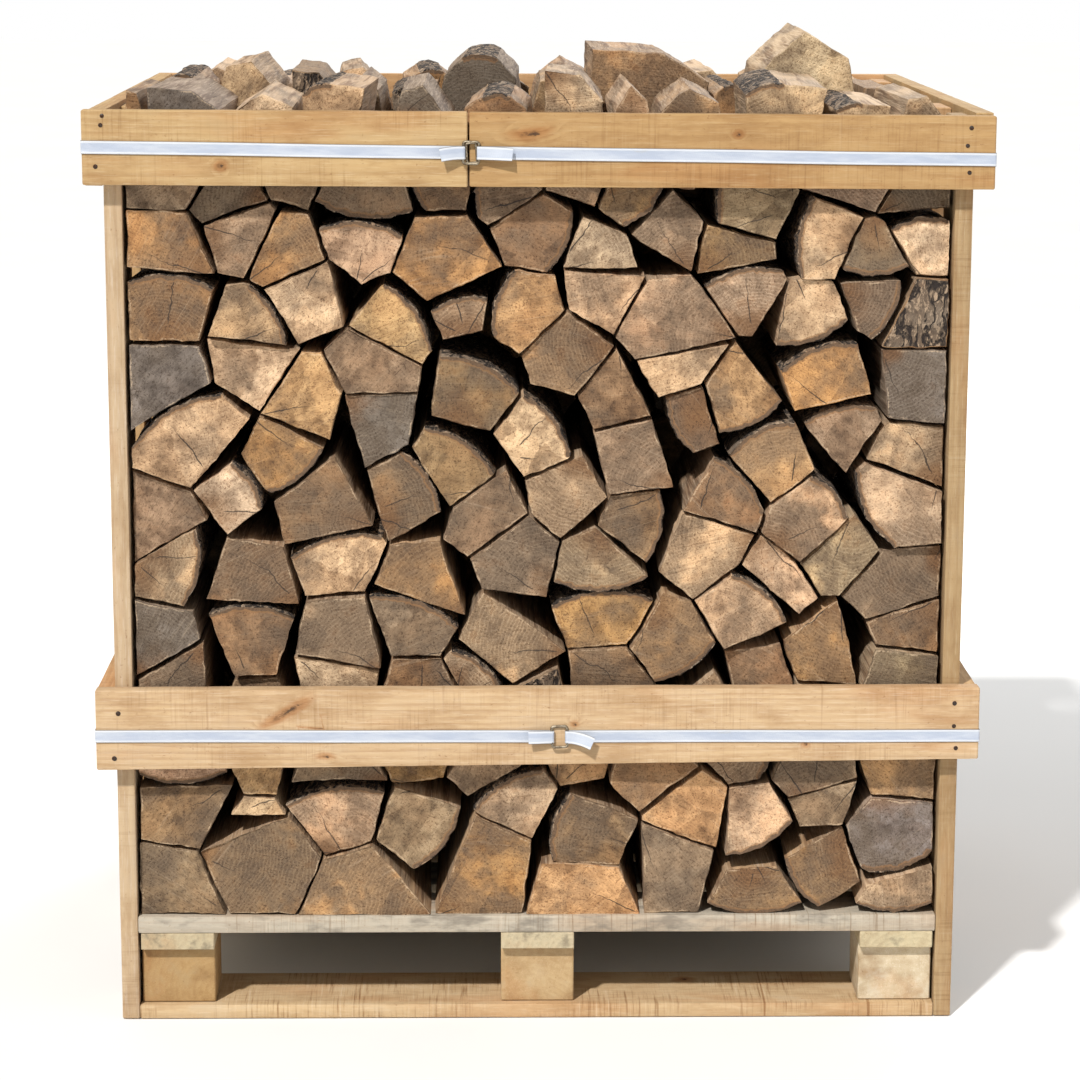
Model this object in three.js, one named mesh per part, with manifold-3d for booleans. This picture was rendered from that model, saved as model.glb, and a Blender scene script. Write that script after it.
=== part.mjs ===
// A crate of split firewood: a block pallet with board uprights nailed down both sides, two belts of
// rails nailed round the uprights, a woven strap drawn tight round each belt, and three rows of split
// logs stacked end-on between the uprights, with loose logs heaped on top.
//
// Millimetres, +Z up. The front, where the log ends and both buckles show, faces -Y. The origin is on
// the ground under the middle of the crate.
import * as THREE from "three";
import { mergeVertices } from "three/addons/utils/BufferGeometryUtils.js";
import Module from "manifold-3d";

const wasm = await Module();
wasm.setup();

// --- Driving dimensions -----------------------------------------------------------------------------
const GAP = 0.3; // air left between pieces that touch
const ARRIS = 1; // worn edge of a sawn board

const PALLET_WIDTH = 1000;
const PALLET_DEPTH = 900;
const BOARD = 22; // thickness of the uprights, rails, stringers and deck boards
const BOTTOM_BOARD = { width: 125, thickness: 18 };
const BLOCK = { side: 92, height: 72, fromEdge: 3, behindBoard: 12 };
const DECK_BOARD_WIDTH = 100;
const DECK_BOARDS = 7;

const UPRIGHT_WIDTH = 100;
const UPRIGHTS_PER_SIDE = 5;
const UPRIGHT_TOP = 1128;

const RAIL_SIDE_TOP = { low: 1045, high: 1134 }; // the side and back rails of the top belt
const RAIL_SIDE_MID = { low: 336, high: 428 }; // and of the middle belt
const TOP_RAIL_JOINT = -85; // where the two halves of the top front rail meet
const JOINT_GAP = 2.4; // the saw cuts are not square, so the halves stand this far apart

const STRAP = { width: 16, thickness: 0.8, offRail: 0.4, bend: 1.6 };
const WIRE = 1.6; // radius of the buckle wire
const BUCKLE = { halfWidth: 9.4, halfHeight: 12.8 };

const LOG_STACK = { halfWidth: 496, top: 1098, columns: 10, courses: 11 };
const ROW_GAP = 2;
const END_RELIEF = 20; // how far the log ends stand out past one another

// --- Levels and faces that follow from them ----------------------------------------------------------
const BLOCK_FOOT = BOTTOM_BOARD.thickness;
const STRINGER_FOOT = BLOCK_FOOT + BLOCK.height;
const DECK_FOOT = STRINGER_FOOT + BOARD;
const DECK_TOP = DECK_FOOT + BOARD;
const SIDE_FACE = PALLET_WIDTH / 2 + BOARD; // outer face of the uprights
const END_FACE = SIDE_FACE + BOARD; // outer face of the side rails
const FRONT_FACE = PALLET_DEPTH / 2 + BOARD; // outer face of the front and back rails

// --- Materials ---------------------------------------------------------------------------------------
const timber = (color) => new THREE.MeshStandardMaterial({ color, roughness: 0.85, metalness: 0 });
const freshSpruce = () => timber(0xd8b784);
const palletWood = () => timber(0xcbb48d);
const splitWood = () => timber(0xa98c6a);
const strapFabric = () =>
  new THREE.MeshStandardMaterial({ color: 0xe6e9ee, roughness: 0.45, metalness: 0 });
const buckleWire = () =>
  new THREE.MeshStandardMaterial({ color: 0x8d8b86, roughness: 0.4, metalness: 1 });

const crate = new THREE.Group();

function place(name, geometry, material, position = [0, 0, 0]) {
  const mesh = new THREE.Mesh(geometry, material);
  mesh.name = name;
  mesh.position.set(...position);
  crate.add(mesh);
  return mesh;
}

// --- Sawn boards -------------------------------------------------------------------------------------
// A board is the outline of its broad face, given in the plane of that face, and a thickness. Its edges
// are knocked off a little. It is made lying down: outline in XY, thickness up +Z.
function sawn(outline, thickness) {
  const shape = new THREE.Shape(outline.map(([u, v]) => new THREE.Vector2(u, v)));
  const geometry = new THREE.ExtrudeGeometry(shape, {
    depth: thickness - 2 * ARRIS,
    bevelEnabled: true,
    bevelThickness: ARRIS,
    bevelSize: ARRIS,
    bevelOffset: -ARRIS,
    bevelSegments: 1,
  });
  return geometry.translate(0, 0, ARRIS);
}

// A rectangle that stops half a gap short of its neighbours on every side.
function oblong([u0, u1], [v0, v1]) {
  const g = GAP / 2;
  return [
    [u0 + g, v0 + g],
    [u1 - g, v0 + g],
    [u1 - g, v1 - g],
    [u0 + g, v1 - g],
  ];
}

// Lying flat, with its lower face at height z.
function flatBoard(name, xs, ys, z, thickness, material) {
  place(name, sawn(oblong(xs, ys), thickness - GAP), material, [0, 0, z]);
}

// Standing in a plane across the crate: outline in X and Z, thickness towards +Y from y.
function crossBoard(name, outline, y, material) {
  const board = sawn(outline, BOARD - GAP).rotateX(Math.PI / 2);
  place(name, board, material, [0, y + BOARD - GAP / 2, 0]);
}

// Standing in a plane along the crate: outline in Y and Z, thickness towards +X from x.
function longBoard(name, outline, x, material) {
  const board = sawn(outline, BOARD - GAP);
  board.rotateX(Math.PI / 2).rotateZ(Math.PI / 2);
  place(name, board, material, [x + GAP / 2, 0, 0]);
}

// --- The pallet --------------------------------------------------------------------------------------
const halfPallet = PALLET_WIDTH / 2;
const halfDepth = PALLET_DEPTH / 2;
const across = [-halfPallet, halfPallet];
const blockX = halfPallet - BLOCK.fromEdge - BLOCK.side / 2;
const blockY = halfDepth - BLOCK.behindBoard - BLOCK.side / 2;
const blockColumns = [["left", -blockX], ["centre", 0], ["right", blockX]];
const blockRows = [["front", -blockY], ["middle", 0], ["back", blockY]];
const span = (centre, width) => [centre - width / 2, centre + width / 2];

for (const [row, sign] of [["front", -1], ["middle", 0], ["back", 1]]) {
  const centre = sign * (halfDepth - BOTTOM_BOARD.width / 2);
  const ys = span(centre, BOTTOM_BOARD.width);
  flatBoard(`bottom_board_${row}`, across, ys, 0, BOTTOM_BOARD.thickness, palletWood());
}
for (const [column, x] of blockColumns) {
  for (const [row, y] of blockRows) {
    const xs = span(x, BLOCK.side);
    const ys = span(y, BLOCK.side);
    flatBoard(`block_${row}_${column}`, xs, ys, BLOCK_FOOT, BLOCK.height, palletWood());
  }
  const length = [-halfDepth, halfDepth];
  flatBoard(`stringer_${column}`, span(x, BLOCK.side), length, STRINGER_FOOT, BOARD, palletWood());
}
for (let i = 0; i < DECK_BOARDS; i++) {
  const pitch = (PALLET_DEPTH - DECK_BOARD_WIDTH) / (DECK_BOARDS - 1);
  const ys = span(-halfDepth + DECK_BOARD_WIDTH / 2 + i * pitch, DECK_BOARD_WIDTH);
  flatBoard(`deck_board_${i + 1}`, across, ys, DECK_FOOT, BOARD, palletWood());
}

// --- The uprights ------------------------------------------------------------------------------------
// The first, third and fifth on each side stand beside the pallet's blocks and reach the ground. The two
// between them start at the stringers, so the pallet stays open from the side.
for (let i = 0; i < UPRIGHTS_PER_SIDE; i++) {
  const pitch = (PALLET_DEPTH - UPRIGHT_WIDTH) / (UPRIGHTS_PER_SIDE - 1);
  const ys = span(-halfDepth + UPRIGHT_WIDTH / 2 + i * pitch, UPRIGHT_WIDTH);
  const foot = i % 2 === 0 ? -GAP / 2 : STRINGER_FOOT;
  const outline = oblong(ys, [foot, UPRIGHT_TOP]);
  longBoard(`upright_left_${i + 1}`, outline, -SIDE_FACE, freshSpruce());
  longBoard(`upright_right_${i + 1}`, outline, halfPallet, freshSpruce());
}

// --- The two belts of rails --------------------------------------------------------------------------
// Front and back rails run the whole width and cover the ends of the side rails. The front rails lie a
// little out of level, as they were nailed.
const acrossBelt = [-END_FACE, END_FACE];
const betweenRails = [-halfDepth, halfDepth];
crossBoard(
  "top_rail_front_left",
  [
    [-END_FACE, 1048],
    [TOP_RAIL_JOINT - JOINT_GAP / 2, 1046],
    [TOP_RAIL_JOINT - JOINT_GAP / 2, 1135],
    [-END_FACE, 1137],
  ],
  -FRONT_FACE,
  freshSpruce(),
);
crossBoard(
  "top_rail_front_right",
  [
    [TOP_RAIL_JOINT + JOINT_GAP / 2, 1046.5],
    [END_FACE, 1043.5],
    [END_FACE, 1131],
    [TOP_RAIL_JOINT + JOINT_GAP / 2, 1134.5],
  ],
  -FRONT_FACE,
  freshSpruce(),
);
crossBoard(
  "mid_rail_front",
  [
    [-END_FACE, 329],
    [END_FACE, 341],
    [END_FACE, 432],
    [-END_FACE, 430],
  ],
  -FRONT_FACE,
  freshSpruce(),
);
for (const [belt, { low, high }] of [["top", RAIL_SIDE_TOP], ["mid", RAIL_SIDE_MID]]) {
  crossBoard(`${belt}_rail_back`, oblong(acrossBelt, [low, high]), halfDepth, freshSpruce());
  longBoard(`${belt}_rail_left`, oblong(betweenRails, [low, high]), -END_FACE, freshSpruce());
  longBoard(`${belt}_rail_right`, oblong(betweenRails, [low, high]), SIDE_FACE, freshSpruce());
}

// --- Joining solids ----------------------------------------------------------------------------------
function toSolid(geometry) {
  geometry.deleteAttribute("normal");
  geometry.deleteAttribute("uv");
  const merged = mergeVertices(geometry, 1e-4);
  return new wasm.Manifold(
    new wasm.Mesh({
      numProp: 3,
      vertProperties: new Float32Array(merged.attributes.position.array),
      triVerts: new Uint32Array(merged.index.array),
    }),
  );
}

function toGeometry(solid) {
  const mesh = solid.getMesh();
  const geometry = new THREE.BufferGeometry();
  geometry.setAttribute("position", new THREE.BufferAttribute(mesh.vertProperties, 3));
  geometry.setIndex(new THREE.BufferAttribute(mesh.triVerts, 1));
  geometry.computeVertexNormals();
  return geometry;
}

const joined = (geometries) =>
  toGeometry(geometries.map(toSolid).reduce((whole, piece) => whole.add(piece)));

// --- Straps and buckles ------------------------------------------------------------------------------
// Seen from above, a strap is a thin ribbon. It starts at its left tail, folds round the buckle's left
// bar, goes once round the belt against the rails, folds round the right bar and ends in the right tail.
function ribbonOutline(path, thickness) {
  const normals = path.map((point, i) => {
    const before = path[Math.max(i - 1, 0)];
    const after = path[Math.min(i + 1, path.length - 1)];
    const inward = new THREE.Vector2().subVectors(point, before).normalize();
    const outward = new THREE.Vector2().subVectors(after, point).normalize();
    const along = inward.add(outward).normalize();
    return new THREE.Vector2(-along.y, along.x);
  });
  const side = (s) => path.map((p, i) => p.clone().addScaledVector(normals[i], (s * thickness) / 2));
  return [...side(1), ...side(-1).reverse()];
}

function arc(x, y, radius, from, to, steps) {
  return Array.from({ length: steps + 1 }, (_, i) => {
    const angle = THREE.MathUtils.degToRad(from + ((to - from) * i) / steps);
    return new THREE.Vector2(x + radius * Math.cos(angle), y + radius * Math.sin(angle));
  });
}

function strapAndBuckle(belt, { x, z, slope, leftTail, rightTail }) {
  const out = STRAP.offRail + STRAP.thickness / 2; // middle of the ribbon, off the rails
  const front = -FRONT_FACE - out;
  const fold = WIRE + GAP + STRAP.thickness / 2;
  const bar = front - fold; // the buckle's bars stand this far forward
  const tailEnd = front - STRAP.thickness - 2 * GAP;
  const cornerX = END_FACE + out - STRAP.bend;
  const cornerY = FRONT_FACE + out - STRAP.bend;
  const path = [
    new THREE.Vector2(x - BUCKLE.halfWidth - leftTail, tailEnd),
    new THREE.Vector2(x - BUCKLE.halfWidth - leftTail * 0.45, tailEnd - 1),
    ...arc(x - BUCKLE.halfWidth, bar, fold, -90, 90, 8),
    ...arc(-cornerX, -cornerY, STRAP.bend, 270, 180, 3),
    ...arc(-cornerX, cornerY, STRAP.bend, 180, 90, 3),
    ...arc(cornerX, cornerY, STRAP.bend, 90, 0, 3),
    ...arc(cornerX, -cornerY, STRAP.bend, 0, -90, 3),
    ...arc(x + BUCKLE.halfWidth, bar, fold, 90, 270, 8),
    new THREE.Vector2(x + BUCKLE.halfWidth + rightTail * 0.45, tailEnd - 1),
    new THREE.Vector2(x + BUCKLE.halfWidth + rightTail, tailEnd),
  ];
  const ribbon = new THREE.Shape(ribbonOutline(path, STRAP.thickness));
  const strap = new THREE.ExtrudeGeometry(ribbon, { depth: STRAP.width, bevelEnabled: false });
  strap.translate(0, 0, z - STRAP.width / 2);
  const level = new THREE.Matrix4().set(1, 0, 0, 0, 0, 1, 0, 0, slope, 0, 1, 0, 0, 0, 0, 1);
  strap.applyMatrix4(level); // the strap sits lower at one end of the crate than at the other
  place(`${belt}_strap`, strap, strapFabric());

  const wires = [];
  for (const side of [-1, 1]) {
    const upright = new THREE.CylinderGeometry(WIRE, WIRE, 2 * BUCKLE.halfHeight, 8);
    wires.push(upright.rotateX(Math.PI / 2).translate(side * BUCKLE.halfWidth, 0, 0));
  }
  for (const end of [-1, 1]) {
    const cross = new THREE.CylinderGeometry(WIRE, WIRE, 2 * BUCKLE.halfWidth, 8);
    wires.push(cross.rotateZ(Math.PI / 2).translate(0, 0, end * BUCKLE.halfHeight));
    for (const side of [-1, 1]) {
      const corner = new THREE.SphereGeometry(WIRE * 1.03, 8, 6);
      wires.push(corner.translate(side * BUCKLE.halfWidth, 0, end * BUCKLE.halfHeight));
    }
  }
  place(`${belt}_buckle`, joined(wires), buckleWire(), [x, bar, z + slope * x]);
}

strapAndBuckle("top", { x: -82, z: 1086, slope: -0.0123, leftTail: 27, rightTail: 40 });
strapAndBuckle("mid", { x: 26, z: 371.5, slope: -0.001, leftTail: 29, rightTail: 31 });

// --- The stacked logs --------------------------------------------------------------------------------
// A repeatable run of numbers between 0 and 1, for the unevenness of split wood.
function uneven(seed) {
  let state = seed;
  return () => {
    state = (state * 1664525 + 1013904223) % 4294967296;
    return state / 4294967296;
  };
}

// Outline in X and Z, standing from y = from to y = to.
function prism(outline, from, to) {
  const shape = new THREE.Shape(outline.map(([x, z]) => new THREE.Vector2(x, z)));
  const body = new THREE.ExtrudeGeometry(shape, { depth: to - from, bevelEnabled: false });
  return body.rotateX(Math.PI / 2).translate(0, to, 0);
}

// One row of the stack as a single body that reaches the tips of its logs: the mass of the row, and on a
// face that shows, every log's end standing out of it by its own amount. `ends` is -1 for a front face
// of log ends, 1 for a back face and 0 for none.
function logRow(name, seed, from, to, ends) {
  const random = uneven(seed);
  const { halfWidth, top, columns, courses } = LOG_STACK;
  const floor = DECK_TOP + GAP;
  const pitchX = (2 * halfWidth) / columns;
  const pitchZ = (top - floor) / courses;
  const corner = [];
  for (let j = 0; j <= courses; j++) {
    corner.push([]);
    for (let i = 0; i <= columns; i++) {
      const edge = i === 0 || i === columns ? 0.06 : 0.3;
      const inward = i === 0 ? 1 : i === columns ? -1 : 0;
      const shiftX = (random() - 0.5 + inward * 0.5) * pitchX * edge;
      const shiftZ = j === 0 ? 0 : (random() - 0.5 - (j === courses ? 0.5 : 0)) * pitchZ * 0.36;
      corner[j].push([-halfWidth + i * pitchX + shiftX, floor + j * pitchZ + shiftZ]);
    }
  }
  const outline = [
    corner[0][0],
    ...corner.map((course) => course[columns]),
    ...corner[courses].slice(0, columns).reverse(),
    ...corner.slice(1, courses).reverse().map((course) => course[0]),
  ];
  const near = ends < 0 ? from + END_RELIEF : from;
  const far = ends > 0 ? to - END_RELIEF : to;
  const pieces = [prism(outline, near, far)];
  for (let j = 0; ends !== 0 && j < courses; j++) {
    for (let i = 0; i < columns; i++) {
      const quad = [corner[j][i], corner[j][i + 1], corner[j + 1][i + 1], corner[j + 1][i]];
      const middle = [0, 1].map((k) => quad.reduce((sum, p) => sum + p[k], 0) / 4);
      const chipped = Math.floor(random() * 4);
      const section = quad.map((p, k) => {
        const shrink = k === chipped ? 0.55 + 0.35 * random() : 0.92;
        return [0, 1].map((c) => middle[c] + (p[c] - middle[c]) * shrink);
      });
      const standing = END_RELIEF * (0.3 + 0.7 * random());
      pieces.push(
        ends < 0 ? prism(section, near - standing, near + 2) : prism(section, far - 2, far + standing),
      );
    }
  }
  place(name, joined(pieces), splitWood());
}

const rowDepth = (PALLET_DEPTH - 4 * ROW_GAP) / 3;
const rowFrom = (i) => -halfDepth + ROW_GAP + i * (rowDepth + ROW_GAP);
logRow("log_row_front", 11, rowFrom(0), rowFrom(0) + rowDepth, -1);
logRow("log_row_middle", 23, rowFrom(1), rowFrom(1) + rowDepth, 0);
logRow("log_row_back", 37, rowFrom(2), rowFrom(2) + rowDepth, 1);

// --- The loose logs on top ---------------------------------------------------------------------------
// A split log is a wedge of the round: the heart at one corner and an arc of bark opposite it. `spread`
// is the wedge's angle, and `roll` turns it about its own length.
function splitLog(radius, spread, length) {
  const bark = arc(0, 0, radius, 90 - spread / 2, 90 + spread / 2, 5);
  const shape = new THREE.Shape([new THREE.Vector2(0, 0), ...bark]);
  const body = new THREE.ExtrudeGeometry(shape, { depth: length, bevelEnabled: false });
  return body.center().rotateX(Math.PI / 2);
}

// Front row, left to right, then the middle row: [x, y, yaw, roll, radius, spread, length].
const CROWN_FOOT = 1101;
const CROWN_LOGS = [
  [-425, -299, 2, 178, 62, 84, 285],
  [-331, -300, -2, 4, 55, 104, 288],
  [-246, -299, 2, 172, 76, 60, 288],
  [-143, -301, -2, 92, 65, 60, 284],
  [-46, -299, 1, -18, 60, 98, 286],
  [46, -300, -1, 184, 82, 54, 290],
  [181, -302, 2, 6, 62, 84, 286],
  [294, -300, -2, 162, 77, 84, 288],
  [-362, 6, 4, -12, 80, 60, 290],
  [-84, 4, -5, 28, 98, 62, 292],
  [146, 6, 6, 3, 95, 84, 290],
  [330, 8, -6, 140, 120, 64, 288],
];
CROWN_LOGS.forEach(([x, y, yaw, roll, radius, spread, length], i) => {
  const log = place(`crown_log_${i + 1}`, splitLog(radius, spread, length), splitWood(), [x, y, 0]);
  log.rotation.set(0, THREE.MathUtils.degToRad(roll), THREE.MathUtils.degToRad(yaw), "ZXY");
  log.updateMatrixWorld();
  log.position.z = CROWN_FOOT - new THREE.Box3().setFromObject(log, true).min.z;
});

export default crate;
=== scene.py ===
# %% [markdown]
# # A crate of split firewood
# The real object is a block pallet with board uprights nailed down both sides, two belts of rails nailed
# round the uprights, a woven strap drawn tight round each belt, and three rows of split logs stacked
# end-on between the uprights, with loose logs heaped on top. The imported model is loaded first and never
# moves: every piece made here is laid into its boxes, in metres, with +Z up and the front facing -Y.
# The model's own box is kept.

# %% Load the fixed frame
import math

import bpy
import numpy as np
from mathutils import Matrix, Vector


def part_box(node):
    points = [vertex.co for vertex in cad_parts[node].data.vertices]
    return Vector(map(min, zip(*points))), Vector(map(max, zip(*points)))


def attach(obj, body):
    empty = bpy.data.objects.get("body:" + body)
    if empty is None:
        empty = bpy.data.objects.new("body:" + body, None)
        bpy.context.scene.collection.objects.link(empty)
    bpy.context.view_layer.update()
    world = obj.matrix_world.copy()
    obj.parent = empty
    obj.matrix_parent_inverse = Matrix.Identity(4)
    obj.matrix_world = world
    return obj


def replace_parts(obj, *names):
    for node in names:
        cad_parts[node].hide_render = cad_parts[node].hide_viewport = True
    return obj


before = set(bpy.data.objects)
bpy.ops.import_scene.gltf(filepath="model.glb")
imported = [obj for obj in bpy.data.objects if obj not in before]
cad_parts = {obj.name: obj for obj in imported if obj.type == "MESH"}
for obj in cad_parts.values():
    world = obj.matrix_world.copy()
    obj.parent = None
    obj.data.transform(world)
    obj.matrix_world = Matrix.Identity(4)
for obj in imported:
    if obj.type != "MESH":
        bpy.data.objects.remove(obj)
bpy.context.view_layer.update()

MM = 0.001

# %% [markdown]
# ## Where it is seen from
# A long lens well back from the crate, a little above its top and turned slightly to the right, keeps
# the rails almost level, as a catalogue picture does. The camera is made first.

# %% The camera
EYE = (-70.6 * MM, -4313.8 * MM, 1371.9 * MM)
YAW, PITCH, ROLL = 0.01871, 0.19381, 0.00267
FOCAL = 107.2167  # mm, on a sensor 36 mm wide

camera = bpy.data.objects.new("camera", bpy.data.cameras.new("camera"))
bpy.context.scene.collection.objects.link(camera)
camera.data.sensor_width = 36
camera.data.lens = FOCAL
camera.data.clip_end = 60
camera.matrix_world = (
    Matrix.Translation(EYE)
    @ Matrix.Rotation(-YAW, 4, "Z")
    @ Matrix.Rotation(math.pi / 2 - PITCH, 4, "X")
    @ Matrix.Rotation(ROLL, 4, "Z")
)
bpy.context.scene.camera = camera
print("lens:", round(FOCAL, 1), "mm")

# %% [markdown]
# ## Light
# Dark gaps between pale log ends are what make a wood stack read, so most of the light comes from one
# broad source, high at the front left, far enough off to light the whole stack alike and to let the top
# rail throw a short soft shadow on the logs. The sky is white to look at but dim as a light, so that the
# gaps stay dark, and two weak lamps keep the right and the back from going flat.

# %% Lamps and sky
def lamp(name, kind, at, energy, tint=(1, 1, 1), **shape):
    light = bpy.data.lights.new(name, kind)
    light.energy, light.color = energy, tint
    for setting, value in shape.items():
        setattr(light, setting, value)
    holder = bpy.data.objects.new(name, light)
    holder.location = at
    holder.rotation_euler = (Vector((0, -0.2, 0.6)) - Vector(at)).to_track_quat("-Z", "Y").to_euler()
    bpy.context.scene.collection.objects.link(holder)


lamp("key_light", "SUN", (-2.3, -4.6, 6.0), 3.9, (1.0, 0.985, 0.965), angle=math.radians(3))
lamp("right_lamp", "AREA", (4.0, -3.0, 1.8), 26, size=2.5)
lamp("back_lamp", "AREA", (1.8, 4.5, 3.6), 150, size=2.5)

sky = bpy.data.worlds.new("white_sky")
sky.use_nodes = True
seen = sky.node_tree.nodes.new("ShaderNodeLightPath")
strength = sky.node_tree.nodes.new("ShaderNodeMapRange")
sky.node_tree.links.new(seen.outputs["Is Camera Ray"], strength.inputs["Value"])
strength.inputs["To Min"].default_value, strength.inputs["To Max"].default_value = 0.42, 1.0
backdrop = sky.node_tree.nodes["Background"]
backdrop.inputs["Color"].default_value = (1, 1, 1, 1)
sky.node_tree.links.new(strength.outputs["Result"], backdrop.inputs["Strength"])
bpy.context.scene.world = sky
bpy.context.scene.view_settings.view_transform = "Standard"

# %% [markdown]
# ## Writing materials as sums
# Wood, bark and weave are all sums of a few patterns, and sums read best as Python. One small class
# wraps a socket, so that `1 - rings * 0.3` adds the Math nodes it needs. Another holds a material and
# adds every other kind of node through one method. Colours go through Mix nodes, because a Math node
# would turn them grey.

# %% A socket that can be used in sums
class Wire:
    def __init__(self, finish, socket):
        self.finish, self.socket = finish, socket

    def sum(self, operation, *terms):
        return self.finish.node("ShaderNodeMath", {"operation": operation}, dict(enumerate(terms)))

    def __add__(self, other):
        return self.sum("ADD", self, other)

    def __sub__(self, other):
        return self.sum("SUBTRACT", self, other)

    def __rsub__(self, other):
        return self.sum("SUBTRACT", other, self)

    def __mul__(self, other):
        return self.sum("MULTIPLY", self, other)

    def __truediv__(self, other):
        return self.sum("DIVIDE", self, other)

    def __pow__(self, other):
        return self.sum("POWER", self, other)

    def __mod__(self, other):
        return self.sum("FLOORED_MODULO", self, other)

    def __abs__(self):
        return self.sum("ABSOLUTE", self)

    __radd__, __rmul__ = __add__, __mul__


# %% A material that nodes are added to
class Finish:
    def __init__(self, name):
        self.material = bpy.data.materials.new(name)
        self.material.use_nodes = True
        self.tree = self.material.node_tree
        self.tree.nodes.clear()

    def node(self, kind, settings, inputs, output=0):
        node = self.tree.nodes.new(kind)
        for name, value in settings.items():
            setattr(node, name, value)
        for key, value in inputs.items():
            if isinstance(value, Wire):
                self.tree.links.new(value.socket, node.inputs[key])
            else:
                node.inputs[key].default_value = value
        return Wire(self, node.outputs[output])

    def attribute(self, name, output="Vector"):
        return self.node("ShaderNodeAttribute", {"attribute_name": name}, {}, output)

    def parts(self, vector):
        split = self.node("ShaderNodeSeparateXYZ", {}, {0: vector})
        return [Wire(self, out) for out in split.socket.node.outputs]

    def joined(self, x, y, z):
        return self.node("ShaderNodeCombineXYZ", {}, {0: x, 1: y, 2: z})

    def stretched(self, vector, by):
        return self.node("ShaderNodeVectorMath", {"operation": "MULTIPLY"}, {0: vector, 1: by})

    def moved(self, vector, by):
        return self.node("ShaderNodeVectorMath", {"operation": "ADD"}, {0: vector, 1: by})

    def noise(self, vector, scale, detail=2.0, roughness=0.5, distortion=0.0):
        inputs = {"Vector": vector, "Scale": scale, "Detail": detail}
        inputs |= {"Roughness": roughness, "Distortion": distortion}
        return self.node("ShaderNodeTexNoise", {}, inputs)

    def ease(self, value, low, high):
        """0 below low, 1 above high, and a soft slope between; low may be the larger of the two."""
        inputs = {"Value": value, "From Min": low, "From Max": high}
        return self.node("ShaderNodeMapRange", {"interpolation_type": "SMOOTHSTEP"}, inputs)

    def mix(self, amount, a, b, mode="MIX"):
        ends = {k: c if isinstance(c, Wire) else (*c, 1) for k, c in ((6, a), (7, b))}
        settings = {"data_type": "RGBA", "blend_type": mode}
        return self.node("ShaderNodeMix", settings, {0: amount} | ends, 2)

    def multiply_colour(self, amount, colour, by):
        """Darken or warm a colour by multiplying it, as far as the amount says."""
        return self.mix(amount, colour, by, "MULTIPLY")

    def bump(self, height, distance, under=None):
        inputs = {"Height": height, "Strength": 1.0, "Distance": distance}
        return self.node("ShaderNodeBump", {}, inputs | ({"Normal": under} if under else {}))

    def surface(self, colour, roughness, normal, **constants):
        """The finished surface: constants are sockets that are the same all over it."""
        inputs = {"Base Color": colour, "Roughness": roughness, "Normal": normal}
        inputs |= {name.replace("_", " "): value for name, value in constants.items()}
        shader = self.node("ShaderNodeBsdfPrincipled", {}, inputs)
        target = self.tree.nodes.new("ShaderNodeOutputMaterial")
        self.tree.links.new(shader.socket, target.inputs["Surface"])
        return self.material


# %% [markdown]
# ## Sawn log ends
# The end of a log shows its growth rings round the heart, fine rays and drying cracks that run out from
# it, the marks of the saw, and a grey bloom where it has weathered. Each log carries its own point for
# the heart, its own tone and the direction it was sawn in, so one finish gives every log a different
# end. A rind of dark bark follows the edge only where the log was split from the outside of the trunk.

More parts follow.
